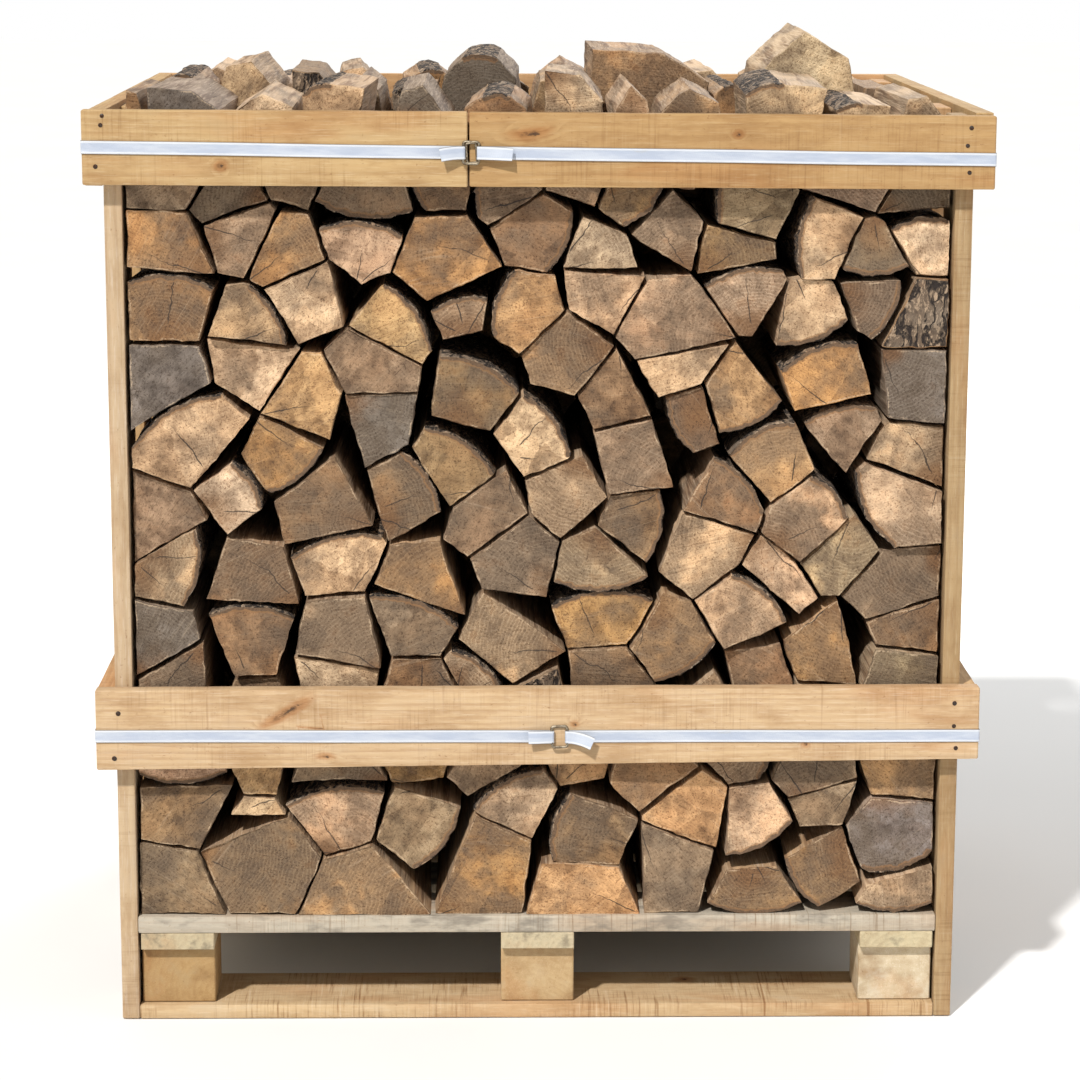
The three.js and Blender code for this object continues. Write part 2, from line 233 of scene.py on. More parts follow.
# %% Finish of the sawn ends
def end_grain():
    f = Finish("sawn_log_end")
    heart, saw = f.attribute("heart"), f.attribute("saw")
    tone, luck = f.attribute("tone", "Color"), f.attribute("tone", "Alpha")
    bark, lip, _ = f.parts(f.attribute("rind"))
    x, y, z = f.parts(heart)
    from_heart = (x * x + z * z) ** 0.5
    wander = f.noise(heart, 20, 3, 0.6) - 0.5
    mottle = f.noise(heart, 36, 4, 0.68)
    blotch = f.noise(f.moved(heart, (3, 0, 5)), 13, 3, 0.62)
    grit = f.noise(heart, 420, 2, 0.75)
    ragged = f.moved(heart, f.stretched(f.noise(heart, 55, 2), (0.02, 0, 0.02)))
    own_place = f.moved(ragged, f.joined(luck, 0, luck))
    lit_and_shaded_facet = f.parts(f.node("ShaderNodeTexVoronoi", {}, {"Vector": own_place, "Scale": 15.0}, "Color"))[0]
    ring = f.ease(abs(((from_heart + wander * 0.026) / 0.0046) % 1.0 - 0.5), 0.5, 0.2)
    ring = ring * f.ease(blotch + luck * 0.3, 0.52, 0.85)
    outward = f.joined(x / from_heart, y, z / from_heart)
    rays = f.noise(f.moved(f.stretched(outward, (34, 1, 34)), f.stretched(heart, (60, 0, 60))), 1.3, 2, 0.7)
    teeth = f.noise(f.stretched(saw, (230, 16, 1)), 1.0, 3, 0.72)
    swath = f.noise(f.stretched(saw, (40, 12, 1)), 1.0, 1)
    warm = f.ease(from_heart + wander * 0.09, 0.055, 0.012) * f.ease(luck, 0.35, 0.6)
    grey = f.ease(blotch + luck * 0.3, 0.5, 0.76)

    # Drying cracks: the end is divided into eight sectors round the heart, and some of them are split
    # down the middle, each from its own start and for its own length.
    turn = f.node("ShaderNodeMath", {"operation": "ARCTAN2"}, {0: z, 1: x}) * (8 / (2 * math.pi))
    turn = turn + luck * 8 + wander * 0.6
    within = turn % 1.0
    sector = (turn - within) % 8.0 + luck * 97.0
    fate = f.node("ShaderNodeTexWhiteNoise", {"noise_dimensions": "1D"}, {"W": sector}, "Color")
    is_split, start, length = f.parts(fate)
    beside = abs(within - 0.5) * from_heart * (2 * math.pi / 8)
    along = (from_heart - start * 0.03) / (length * 0.07 + 0.02)
    taper = f.ease(along, 0.0, 0.1) * f.ease(along, 1.0, 0.3)
    crack = f.ease(beside, taper * 0.0009 + 0.0003, taper * 0.0003)
    crack = crack * f.ease(taper, 0.0, 0.15) * f.ease(is_split, 0.54, 0.56)

    colour = f.mix(f.ease(mottle, 0.3, 0.7), f.multiply_colour(1.0, tone, (0.50, 0.45, 0.40)),
                   f.multiply_colour(1.0, tone, (1.56, 1.58, 1.56)))
    # Crisp-edged patches of painted shade and painted light, as shadows from neighbouring logs and facets
    # turned from or towards the light would give.
    colour = f.multiply_colour(f.ease(lit_and_shaded_facet, 0.55, 0.65) * 0.5, colour, (0.5, 0.42, 0.34))
    colour = f.mix(f.ease(lit_and_shaded_facet, 0.3, 0.2) * 0.3, colour, f.multiply_colour(1.0, tone, (1.55, 1.45, 1.3)))
    colour = f.mix(grey * 0.62, colour, (0.165, 0.122, 0.082))
    colour = f.mix(f.ease(blotch, 0.44, 0.3) * 0.45, colour, f.multiply_colour(1.0, tone, (1.5, 1.35, 1.2)))
    colour = f.mix(warm * 0.8, colour, f.mix(mottle, (0.11, 0.048, 0.017), (0.27, 0.135, 0.05)))
    colour = f.multiply_colour(ring * 0.42, colour, (0.42, 0.31, 0.22))
    colour = f.multiply_colour(f.ease(rays, 0.6, 0.3) * 0.34, colour, (0.4, 0.31, 0.23))
    colour = f.mix(f.ease(teeth, 0.52, 0.78) * f.ease(swath, 0.42, 0.6) * 0.2, colour, (0.66, 0.52, 0.36))
    colour = f.multiply_colour(f.ease(teeth, 0.47, 0.3) * f.ease(swath, 0.6, 0.42) * 0.42, colour, (0.42, 0.32, 0.23))
    colour = f.multiply_colour(f.ease(mottle, 0.58, 0.66) * f.ease(luck, 0.2, 0.6) * 0.4, colour, (0.52, 0.36, 0.22))
    colour = f.multiply_colour(f.ease(grit, 0.48, 0.32) * 0.75, colour, (0.28, 0.2, 0.13))
    # A pale rim round the end: partly torn fibres, partly a painted highlight along the edge.
    torn_and_highlit_rim = f.ease(lip + (grit - 0.5) * 1.4, 0.6, 0.9) * f.ease(mottle, 0.46, 0.58)
    colour = f.mix(torn_and_highlit_rim * 0.5, colour, (0.58, 0.43, 0.28))
    colour = f.mix(crack * 0.93, colour, (0.024, 0.015, 0.01))
    edge = bark + (f.noise(heart, 130, 2) - 0.5) * 0.7
    rind = f.ease(edge, 0.55, 0.64)
    colour = f.mix(f.ease(edge, 0.28, 0.5) * 0.7, colour, (0.23, 0.115, 0.045))
    colour = f.mix(rind, colour, f.mix(grit, (0.03, 0.017, 0.009), (0.22, 0.13, 0.07)))

    height = teeth * 0.6 + grit * 0.5 + mottle * 0.9
    return f.surface(colour, 0.93 - teeth * 0.12, f.bump(height, 0.0016))


end_finish = end_grain()
print(end_finish.name, len(end_finish.node_tree.nodes), "nodes")

# %% [markdown]
# ## Split faces and bark
# A split face is torn along the fibres, so everything on it is drawn out along the log: stretching the
# pattern's place thirty times along the length does that. Bark is made of ridges with dark furrows
# between them, longer along the log than round it.

# %% Finish of the split faces
def split_face():
    f = Finish("split_log_face")
    heart = f.attribute("heart")
    tone, luck = f.attribute("tone", "Color"), f.attribute("tone", "Alpha")
    fibre = f.noise(f.stretched(heart, (420, 14, 420)), 1.0, 3, 0.7)
    strand = f.noise(f.stretched(heart, (110, 5, 110)), 1.0, 2, 0.6, 0.4)
    mottle = f.noise(f.stretched(heart, (30, 9, 30)), 1.0, 2)
    colour = f.mix(0.45, tone, (0.50, 0.335, 0.205))
    colour = f.mix(f.ease(mottle + luck * 0.2, 0.46, 0.74) * 0.7, colour, (0.22, 0.155, 0.1))
    colour = f.multiply_colour(f.ease(strand, 0.56, 0.34) * 0.75, colour, (0.34, 0.25, 0.18))
    colour = f.mix(f.ease(fibre, 0.48, 0.72) * 0.42, colour, (0.72, 0.56, 0.4))
    return f.surface(colour, 0.86 - fibre * 0.12, f.bump(fibre * 0.5 + strand, 0.0025))


split_finish = split_face()
print(split_finish.name, len(split_finish.node_tree.nodes), "nodes")


# %% Finish of the bark
def bark_face():
    f = Finish("rough_bark")
    heart = f.attribute("heart")
    bent = f.moved(heart, f.stretched(f.noise(heart, 34, 2), (0.02, 0.03, 0.02)))
    plate = f.noise(f.stretched(bent, (58, 17, 58)), 1.0, 3, 0.62)
    flake = f.noise(f.stretched(bent, (190, 75, 190)), 1.0, 3, 0.7)
    furrow = f.ease(abs(plate - 0.5) + (flake - 0.5) * 0.12, 0.0, 0.07)
    seam = f.ease(abs(flake - 0.5), 0.0, 0.05)
    patch = f.noise(heart, 20, 3)
    colour = f.mix(f.ease(flake, 0.35, 0.7), (0.095, 0.064, 0.042), (0.37, 0.262, 0.17))
    colour = f.mix(f.ease(patch, 0.5, 0.7) * 0.5, colour, (0.28, 0.22, 0.16))
    colour = f.mix(f.ease(patch, 0.46, 0.3) * 0.6, colour, (0.25, 0.145, 0.075))
    colour = f.mix(seam * 0.6 + 0.4, (0.03, 0.019, 0.013), colour)
    colour = f.mix(furrow, (0.018, 0.011, 0.008), colour)
    return f.surface(colour, 0.95 - flake * 0.1, f.bump(furrow + flake * 0.7, 0.005))


bark_finish = bark_face()
print("log finishes:", end_finish.name, split_finish.name, bark_finish.name)

# %% [markdown]
# ## Sawn boards
# The rails and uprights are fresh spruce straight from a band saw: pale yellow, with brown late wood in
# long loops where the board was cut across the rings, fine marks straight across the board, and knots
# that push the grain aside. Each board carries its own place along, across and through it, measured
# from where it lay in the trunk, and how far each point is from the nearest knot.

# %% Finish of the sawn boards
def sawn_board(name, early, late, aged, age, marks, loops):
    """age is how far it has weathered, marks the strength of the saw marks, loops that of the rings."""
    f = Finish(name)
    grain, knot, tone = f.attribute("grain"), f.attribute("knot"), f.attribute("tone", "Color")
    kx, ky, reach = f.parts(knot)
    off_knot = (kx * kx + ky * ky * 1.5) ** 0.5
    near = reach * f.ease(off_knot, 4.5, 0.6)
    bent = f.moved(grain, f.joined(0.0, near * ky * 0.006, near * 0.014))
    _, v, w = f.parts(bent)
    drift = f.noise(f.stretched(bent, (2.4, 12, 12)), 1.0, 2) - 0.5
    radius = (v * v + w * w) ** 0.5 + drift * 0.022
    ring = (radius / 0.0075) % 1.0
    summer = f.ease(ring, 0.2, 0.85) * f.ease(ring, 1.0, 0.93)
    streak = f.noise(f.stretched(bent, (5, 120, 120)), 1.0, 3, 0.7)
    fibre = f.noise(f.stretched(grain, (30, 700, 700)), 1.0, 2, 0.7)
    cloud = f.noise(f.stretched(grain, (11, 30, 30)), 1.0, 4, 0.7)
    blush = f.noise(f.stretched(grain, (3.2, 15, 15)), 1.0, 3, 0.6)
    fine_saw = f.noise(f.stretched(grain, (330, 10, 10)), 1.0, 3, 0.65)
    swath = f.ease(f.noise(f.stretched(grain, (9, 12, 12)), 1.0, 2), 0.42, 0.6)
    speck = f.noise(f.stretched(grain, (160, 260, 260)), 1.0, 3, 0.7)
    deep_cut = f.ease(f.noise(f.stretched(grain, (105, 2, 2)), 1.0, 1), 0.69, 0.75)
    worn = f.ease(cloud, 0.6 - age * 0.2, 0.82 - age * 0.2)

    colour = f.mix(f.ease(cloud, 0.3, 0.62), f.mix(0.55, early, late), early)
    colour = f.mix(f.ease(blush, 0.5, 0.68) * 0.5, colour, f.multiply_colour(1.0, colour, (0.90, 0.68, 0.52)))
    colour = f.mix(f.ease(blush, 0.46, 0.3) * 0.35, colour, f.multiply_colour(1.0, colour, (1.12, 1.12, 1.06)))
    colour = f.mix(summer * f.ease(streak, 0.34, 0.62) * loops, colour, late)
    colour = f.multiply_colour(f.ease(streak, 0.5, 0.3) * 0.22, colour, (0.62, 0.48, 0.34))
    colour = f.mix(f.ease(fibre, 0.5, 0.75) * 0.16, colour, (0.86, 0.72, 0.52))
    colour = f.multiply_colour(f.ease(fine_saw, 0.48, 0.3) * swath * 0.4 * marks, colour, (0.46, 0.34, 0.22))
    colour = f.mix(f.ease(fine_saw, 0.54, 0.76) * swath * 0.1 * marks, colour, (0.86, 0.74, 0.55))
    colour = f.multiply_colour(deep_cut * 0.4 * marks, colour, (0.5, 0.36, 0.22))
    colour = f.multiply_colour(f.ease(speck, 0.62, 0.76) * 0.6, colour, (0.42, 0.27, 0.14))
    colour = f.mix(worn * age, colour, aged)
    core = f.ease(off_knot + (cloud - 0.5) * 2.4, 1.2, 0.5) * reach
    halo = f.ease(off_knot + (cloud - 0.5) * 3, 3.0, 0.9) * reach
    pith = f.ease(abs(kx - 0.35 + (speck - 0.5) * 2) + abs(ky + 0.25 + (cloud - 0.5) * 2), 0.75, 0.25) * reach
    colour = f.mix(halo * 0.62, colour, f.multiply_colour(1.0, colour, (0.72, 0.44, 0.22)))
    knot_wood = f.mix(f.ease(speck, 0.35, 0.65), (0.12, 0.05, 0.016), (0.3, 0.145, 0.05))
    colour = f.mix(core * 0.72, colour, knot_wood)
    colour = f.mix(pith * 0.85, colour, (0.045, 0.022, 0.01))
    colour = f.multiply_colour(1.0, colour, tone)

    height = fibre * 0.3 + fine_saw * marks * 0.5 + cloud * 0.7
    return f.surface(colour, 0.8 + fibre * 0.1, f.bump(height, 0.0009))


rail_finish = sawn_board("fresh_spruce", early=(0.50, 0.325, 0.155), late=(0.29, 0.15, 0.052),
                         aged=(0.40, 0.27, 0.145), age=0.35, marks=0.8, loops=0.42)
deck_finish = sawn_board("greyed_spruce", early=(0.50, 0.475, 0.375), late=(0.25, 0.205, 0.145),
                         aged=(0.15, 0.135, 0.105), age=0.75, marks=1.6, loops=0.25)
base_finish = sawn_board("pallet_pine", early=(0.50, 0.35, 0.186), late=(0.31, 0.18, 0.072),
                         aged=(0.44, 0.35, 0.23), age=0.4, marks=2.0, loops=0.2)
print("board finishes:", rail_finish.name, deck_finish.name, base_finish.name)

# %% [markdown]
# ## From numbers to a mesh
# A crate holds hundreds of logs and boards. Each is worked out as plain lists of points and faces, with
# whatever its finish needs noted at every point, and the bodies that belong together are then joined
# into one object. Faces meet in a crisp edge only where they turn sharply.

# %% A body, and joining bodies into a piece
def body(points, quads, triangles, quad_finish, triangle_finish, **notes):
    return {"points": points, "quads": quads, "triangles": triangles, "quad_finish": quad_finish,
            "triangle_finish": triangle_finish, "notes": notes}


NOTE_KINDS = {"tone": ("FLOAT_COLOR", "color")}


def assemble(name, bodies, finishes, sharp=42):
    starts = np.cumsum([0] + [len(b["points"]) for b in bodies[:-1]])
    points = np.concatenate([b["points"] for b in bodies])
    quads = np.concatenate([b["quads"] + s for b, s in zip(bodies, starts)])
    triangles = np.concatenate([b["triangles"] + s for b, s in zip(bodies, starts)])
    mesh = bpy.data.meshes.new(name)
    mesh.vertices.add(len(points))
    mesh.vertices.foreach_set("co", points.astype(np.float32).ravel())
    corners = np.concatenate([quads.ravel(), triangles.ravel()]).astype(np.int32)
    mesh.loops.add(len(corners))
    mesh.loops.foreach_set("vertex_index", corners)
    mesh.polygons.add(len(quads) + len(triangles))
    sizes = np.array([4] * len(quads) + [3] * len(triangles))
    mesh.polygons.foreach_set("loop_start", np.concatenate([[0], np.cumsum(sizes)[:-1]]).astype(np.int32))
    for finish in finishes:
        mesh.materials.append(finish)
    which = [b["quad_finish"] for b in bodies] + [b["triangle_finish"] for b in bodies]
    mesh.polygons.foreach_set("material_index", np.concatenate(which).astype(np.int32))
    for note in bodies[0]["notes"]:
        kind, field = NOTE_KINDS.get(note, ("FLOAT_VECTOR", "vector"))
        values = np.concatenate([b["notes"][note] for b in bodies]).astype(np.float32)
        mesh.attributes.new(note, kind, "POINT").data.foreach_set(field, values.ravel())
    mesh.update(calc_edges=True)
    mesh.validate()
    mesh.set_sharp_from_angle(angle=math.radians(sharp))
    piece = bpy.data.objects.new(name, mesh)
    bpy.context.scene.collection.objects.link(piece)
    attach(piece, "root")
    return piece


def triangle_count(piece):
    return sum(len(p.vertices) - 2 for p in piece.data.polygons)


# %% [markdown]
# ## Unevenness
# Sawn and split wood is never flat. A handful of sine waves in odd directions, added together, gives a
# smooth rise and fall that is the same on every run and costs nothing.

# %% A smooth unevenness in space
def uneven(points, scale, seed):
    """Smooth values of about -1 to 1 at points, with hills about one over scale apart."""
    rng = np.random.default_rng(seed)
    total = np.zeros(len(points))
    for octave in (1, 1.9, 3.7):
        for _ in range(3):
            way = rng.normal(size=3)
            way /= np.linalg.norm(way)
            wave = points @ way * scale * octave * 2 * math.pi + rng.uniform(0, 2 * math.pi)
            total += np.sin(wave) / octave
    return total / 4


print("unevenness at the origin:", uneven(np.zeros((1, 3)), 6, 1).round(2))

# %% Rings of points joined into a tube
def tube_quads(rings, around):
    """Faces between successive rings of `around` points each, facing out when the rings run
    anticlockwise as seen from the last ring."""
    i, j = np.meshgrid(np.arange(rings - 1), np.arange(around), indexing="ij")
    a, b = i * around + j, i * around + (j + 1) % around
    return np.stack([a, b, b + around, a + around], axis=-1).reshape(-1, 4)


def end_fans(rings, around):
    """Triangles that close both ends of a tube onto two points that follow its rings."""
    k, hub = np.arange(around), rings * around
    last = hub - around
    first_fan = np.stack([np.full(around, hub), (k + 1) % around, k], axis=-1)
    last_fan = np.stack([np.full(around, hub + 1), last + k, last + (k + 1) % around], axis=-1)
    return np.concatenate([first_fan, last_fan])


print("an eleven-sided tube of four rings has", len(tube_quads(4, 11)) + len(end_fans(4, 11)), "faces")

# %% [markdown]
# ## Making a board
# A board is a rounded oblong run along its length. Its four long edges are softened by the saw, its
# faces cup and bow by a few tenths of a millimetre, and its ends are cut square. The front rails were
# nailed a little out of level, so a board may be given its four corners in place of a box.

# %% The section of a board, and its knots
def section(half_width, half_thick, arris):
    """Points round an oblong with softened corners, anticlockwise, with the broad faces divided."""
    across = [-1, -0.72, -0.44, -0.16, 0.16, 0.44, 0.72, 1]
    w, t = half_width - arris, half_thick - arris
    points = [(k * w, -half_thick) for k in across]
    points += [(w + arris * 0.7, -t - arris * 0.7)] + [(half_width, k * t) for k in (-1, 0, 1)]
    points += [(w + arris * 0.7, t + arris * 0.7)] + [(k * w, half_thick) for k in reversed(across)]
    points += [(-w - arris * 0.7, t + arris * 0.7)] + [(-half_width, k * t) for k in (1, 0, -1)]
    return np.array(points + [(-w - arris * 0.7, -t - arris * 0.7)])


print(len(section(0.045, 0.011, 0.0013)), "points round a rail")
KNOT_REACH = 0.017  # metres: a knot bends the grain fully out to twice this and not past three times it


def from_knots(grain, knots):
    """For each point, its place seen from the nearest knot in knot radii, and how much it feels it."""
    knot = np.zeros((len(grain), 3))
    if len(knots) == 0:
        return knot
    x, y, radius, long, slope = np.array([(*k, 1, 0)[:5] for k in knots]).T
    apart = grain[:, None, :2] - np.stack([x, y], axis=-1) * MM
    far = np.linalg.norm(apart, axis=2)
    near = far.argmin(1)
    dx, dy = apart[np.arange(len(near)), near].T
    c, s = np.cos(np.radians(slope[near])), np.sin(np.radians(slope[near]))
    knot[:, 0] = (dx * c + dy * s) / (radius * long * MM)[near]
    knot[:, 1] = (dy * c - dx * s) / (radius * MM)[near]
    knot[:, 2] = np.clip(3 - far.min(1) / KNOT_REACH, 0, 1)
    return knot


# %% A board from its box
def board(low, high, run, seed, knots=(), skew=(0, 0, 0, 0), arris=1.3, tint=(1, 1, 1)):
    """run is the axis the grain follows; skew moves the lower and upper long edges at the start and at
    the end of a rail; knots are (along, across, radius) in millimetres from the board's middle, with how
    many times longer than wide the knot is and its slope in degrees if it was cut lengthwise."""
    rng = np.random.default_rng(seed)
    low, high = np.array(low), np.array(high)
    middle, size = (low + high) / 2, high - low
    others = [k for k in range(3) if k != run]
    thick = min(others, key=lambda k: size[k])
    wide = others[0] if others[1] == thick else others[1]
    outline = section(size[wide] / 2, size[thick] / 2, arris * MM)
    if (wide - run) % 3 == 2:
        outline[:, 1] *= -1
    length = size[run]
    stations = max(8, int(length / 0.014))
    along = np.linspace(-0.5, 0.5, stations) * (length - 2 * arris * MM)
    along = np.concatenate([[-length / 2], along, [length / 2]])
    around = len(outline)
    place = np.zeros((len(along), around, 3))
    place[:, :, run] = along[:, None]
    place[:, :, wide], place[:, :, thick] = outline[:, 0], outline[:, 1]
    place[[0, -1], :, wide] *= 1 - 2 * arris * MM / size[wide]
    place[[0, -1], :, thick] *= 1 - 2 * arris * MM / size[thick]
    share = (along / length + 0.5)[:, None]
    side = (outline[:, 0] / size[wide] + 0.5)[None, :]
    lower = skew[0] * (1 - share) + skew[1] * share
    upper = skew[2] * (1 - share) + skew[3] * share
    place[:, :, wide] += (lower * (1 - side) + upper * side) * MM
    points = place.reshape(-1, 3)
    inward = -np.sign(points[:, thick]) * (0.55 + 0.45 * uneven(points, 6, seed)) * 0.35 * MM
    inner = np.abs(points[:, thick]) > size[thick] / 2 - 0.1 * MM
    points[:, thick] += np.where(inner, inward, 0)
    points[:, wide] -= np.sign(points[:, wide]) * np.abs(uneven(points, 9, seed + 1)) * 0.5 * MM
    ends = np.array([points[:around].mean(0), points[-around:].mean(0)])
    grain = np.stack([points[:, run], points[:, wide], points[:, thick]], axis=-1)
    trunk = np.array([rng.uniform(0, 40), rng.uniform(-0.05, 0.05), rng.uniform(0.015, 0.07)])
    ends_grain = np.array([[s * length / 2, 0, 0] for s in (-1, 1)])
    grain_all = np.concatenate([grain, ends_grain])
    knot = from_knots(grain_all, knots)
    quads = tube_quads(len(along), around)
    shade = np.array(tint) * rng.uniform(0.93, 1.05) * (1 + rng.normal(0, 0.02, 3))
    return body(
        np.concatenate([points, ends]) + middle, quads, end_fans(len(along), around),
        np.zeros(len(quads)), np.zeros(2 * around), grain=grain_all + trunk, knot=knot,
        tone=np.tile([*shade, 1], (len(knot), 1)),
    )


# %% [markdown]
# ## The rails and uprights
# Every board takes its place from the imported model's box of the same name. Most get one or two knots
# where chance puts them; the front rails, which show most, get theirs one by one. The boards of one
# belt, and the uprights of one side, stay together in a stack, so they are joined as one piece each.

# %% Boards that stand for the model's boards
def chance_knots(length, width, seed, often):
    rng = np.random.default_rng(seed)
    count = rng.poisson(often * length)
    places = (np.arange(count) + rng.uniform(0.2, 0.8, count)) / max(count, 1) - 0.5
    return [(p * length / MM, rng.uniform(-0.34, 0.34) * width / MM, rng.uniform(3.5, 8)) for p in places]


def boards(name, nodes, run, finish, seed, own=None, often=2.2):
    made = []
    for i, node in enumerate(nodes):
        low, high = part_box(node)
        size = sorted(high - low)
        settings = {"knots": chance_knots(size[2], size[1], seed + i, often)} | (own or {}).get(node, {})
        made.append(board(low, high, run if isinstance(run, int) else run[i], seed + 10 * i, **settings))
    piece = assemble(name, made, [finish], 25)
    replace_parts(piece, *nodes)
    print(name, len(nodes), "boards,", triangle_count(piece), "triangles")
    return piece


TOP_FRONT = {
    "top_rail_front_left": {"knots": [(-65, -20, 4)], "skew": (2, 0, 0, -2), "tint": (1.06, 1.05, 1.04)},
    "top_rail_front_right": {"knots": [(-242, 21, 5, 3, 8), (6, 20, 3), (190, -12, 2.6)],
                             "skew": (3, 0, 0, -3.5), "tint": (0.885, 0.815, 0.70)},
}
MID_FRONT = {
    "mid_rail_front": {"knots": [(-312, 20, 4, 6, 32), (-262, -34, 3.2, 2, 0), (44, 6, 3.2), (330, -20, 3)],
                       "skew": (0, 12, -2, 0), "tint": (1.12, 1.22, 1.48)},
}
boards("top_belt", [*TOP_FRONT, "top_rail_back", "top_rail_left", "top_rail_right"], [0, 0, 0, 1, 1],
       rail_finish, 100, TOP_FRONT)
boards("mid_belt", [*MID_FRONT, "mid_rail_back", "mid_rail_left", "mid_rail_right"], [0, 0, 1, 1],
       rail_finish, 200, MID_FRONT)
# The front upright on the right is darkened: partly its own darker wood, partly painted shade.
for side, seed, tint in (("left", 300, (1.02, 1.16, 1.5)), ("right", 400, (0.78, 0.80, 0.82))):
    boards(f"uprights_{side}", [f"upright_{side}_{i + 1}" for i in range(5)], 2,
           rail_finish, seed, {f"upright_{side}_1": {"tint": tint}})

# %% [markdown]
# ## The pallet
# The deck boards and stringers have been out in the rain longer than the rails and have greyed. The
# blocks and bottom boards underneath are yellower, and the blocks show the ends of their rings.

# %% Deck, stringers, blocks and bottom boards
ACROSS, BACKWARDS = ("left", "centre", "right"), ("front", "middle", "back")
STRINGERS = [f"stringer_{column}" for column in ACROSS]
DECK = [f"deck_board_{i + 1}" for i in range(7)]
BOTTOM = [f"bottom_board_{place}" for place in BACKWARDS]
BLOCKS = [f"block_{place}_{column}" for place in BACKWARDS for column in ACROSS]
STRINGER_TINT = {name: {"tint": (1.1, 0.98, 0.82)} for name in STRINGERS}
boards("pallet_deck", [*DECK, *STRINGERS], [0] * 7 + [1] * 3,
       deck_finish, 500, STRINGER_TINT)
BASE_OWN = {
    "block_front_left": {"tint": (0.72, 0.66, 0.52), "knots": [(0, 0, 4)]},
    "block_front_right": {"tint": (1.16, 1.42, 1.85), "knots": [(0, 0, 4)]},
    "bottom_board_front": {"tint": (1.06, 1.06, 1.1)},
}
boards("pallet_base", [*BOTTOM, *BLOCKS], [0] * 3 + [1] * 9, base_finish, 600, BASE_OWN)

# %% [markdown]
# ## Making a log
# A split log is a wedge of the round: flat torn faces, perhaps an arc of bark, and two sawn ends. The
# outline of its end is a list of corners in millimetres, with the edges that are arcs of bark named.
# The body is that outline run along the log, uneven by a millimetre or so, and the two ends are closed
# by rings of points that shrink to the middle, so that they can be tilted and roughened.

# %% Turning an outline
def wound(outline, barked):
    """The same outline running anticlockwise, with the bark flags moved along."""
    x, z = outline.T
    if np.sum(x * np.roll(z, -1) - np.roll(x, -1) * z) > 0:
        return outline, barked
    count = len(outline)
    return outline[::-1], [(count - 2 - b) % count for b in barked]


def mirrored(outline, barked, flip):
    return wound(outline * np.array(flip[0]) + np.array(flip[1]), barked)


# %% Points round a log
STEP = 5.2  # mm between points round the edge
SWELL = 0.13  # how far an arc of bark bulges, as a share of its width


def edge_points(outline, barked, rng, step):
    """Points round the outline, and for each point whether the edge that it starts is bark."""
    points, bark = [], []
    count = len(outline)
    for i in range(count):
        a, b = outline[i], outline[(i + 1) % count]
        length = np.linalg.norm(b - a)
        pieces = max(2, round(length / step))
        t = np.arange(pieces) / pieces
        normal = np.array([b[1] - a[1], a[0] - b[0]]) / length
        swell = (SWELL if i in barked else rng.uniform(-0.012, 0.02)) * length
        points += list(a + np.outer(t, b - a) + np.outer(4 * t * (1 - t) * swell, normal))
        bark += [i in barked] * pieces
    return np.array(points), np.array(bark)


def heart_of(outline, barked):
    """Where the middle of the trunk lay: opposite the bark, or else off the sharpest corner."""
    centre = outline.mean(0)
    if barked:
        a, b = outline[barked[0]], outline[(barked[0] + 1) % len(outline)]
        across = (a + b) / 2
        inward = np.array([a[1] - b[1], b[0] - a[0]]) / np.linalg.norm(b - a)
        depth = max((outline - across) @ inward)
        return across + inward * depth * 1.05
    before, after = np.roll(outline, 1, 0) - outline, np.roll(outline, -1, 0) - outline
    turn = np.sum(before * after, 1) / np.linalg.norm(before, axis=1) / np.linalg.norm(after, axis=1)
    corner = outline[np.argmax(turn)]
    return corner + (corner - centre) * 0.12


# %% The sides of a log
def log_sides(edge, bark, depths, bevel, rng, seed):
    """The outline at every depth, a little narrower at both ends, drifting, tapering and rough."""
    centre, around = edge.mean(0), len(edge)
    spoke = edge - centre
    reach = np.linalg.norm(spoke, axis=1, keepdims=True)
    drift = rng.normal(0, 1.2, 2)
    taper = rng.uniform(-0.03, 0.01)
    bevelled = centre + spoke * np.maximum(1 - bevel / reach, 0.45)
    loops = []
    for d in depths:
        ring = bevelled if d in (0, depths[-1]) else edge
        share = d / depths[-1]
        loops.append(centre + (ring - centre) * (1 + taper * share) + drift * share)
    side = np.concatenate(loops)
    points = np.stack([side[:, 0], np.repeat(depths, around), side[:, 1]], axis=-1)
    long, longer, short = (points * [1, along, 1] / 1000 for along in (0.22, 0.1, 0.4))
    split = uneven(long, 26, seed) * 1.3 + uneven(longer, 70, seed + 1) * 0.9 - 0.5
    ridged = uneven(short, 42, seed + 2) * 1.9 + uneven(points / 1000, 100, seed + 3) * 1.3 - 0.6
    out = np.tile(spoke / reach, (len(depths), 1))
    points[:, [0, 2]] += out * np.where(np.tile(bark, len(depths)), ridged, split)[:, None]
    return points


# %% The ends of a log
SHRINK = (0.66, 0.36)  # the inner rings of an end, as shares of its rim


def log_end(rim, first, start, insets, reverse):
    """Rings that shrink from a rim to its middle. first and start number the rim's first point and the
    first new one; insets are the outer rings' distances from the rim in millimetres."""
    around, middle = len(rim), rim.mean(0)
    away = np.linalg.norm((rim - middle)[:, [0, 2]], axis=1, keepdims=True)
    rings = [middle + (rim - middle) * np.maximum(1 - inset / away, 0.7) for inset in insets]
    rings += [middle + (rim - middle) * share for share in SHRINK]
    outer, quads = np.arange(first, first + around), []
    for k in range(len(rings)):
        inner = start + k * around + np.arange(around)
        quads.append(np.stack([outer, inner, np.roll(inner, -1), np.roll(outer, -1)], axis=-1))
        outer = inner
    hub = np.full(around, start + len(rings) * around)
    fan = np.stack([outer, hub, np.roll(outer, -1)], axis=-1)
    turn = -1 if reverse else 1
    return np.concatenate([*rings, middle[None]]), np.concatenate(quads)[:, ::turn], fan[:, ::turn]


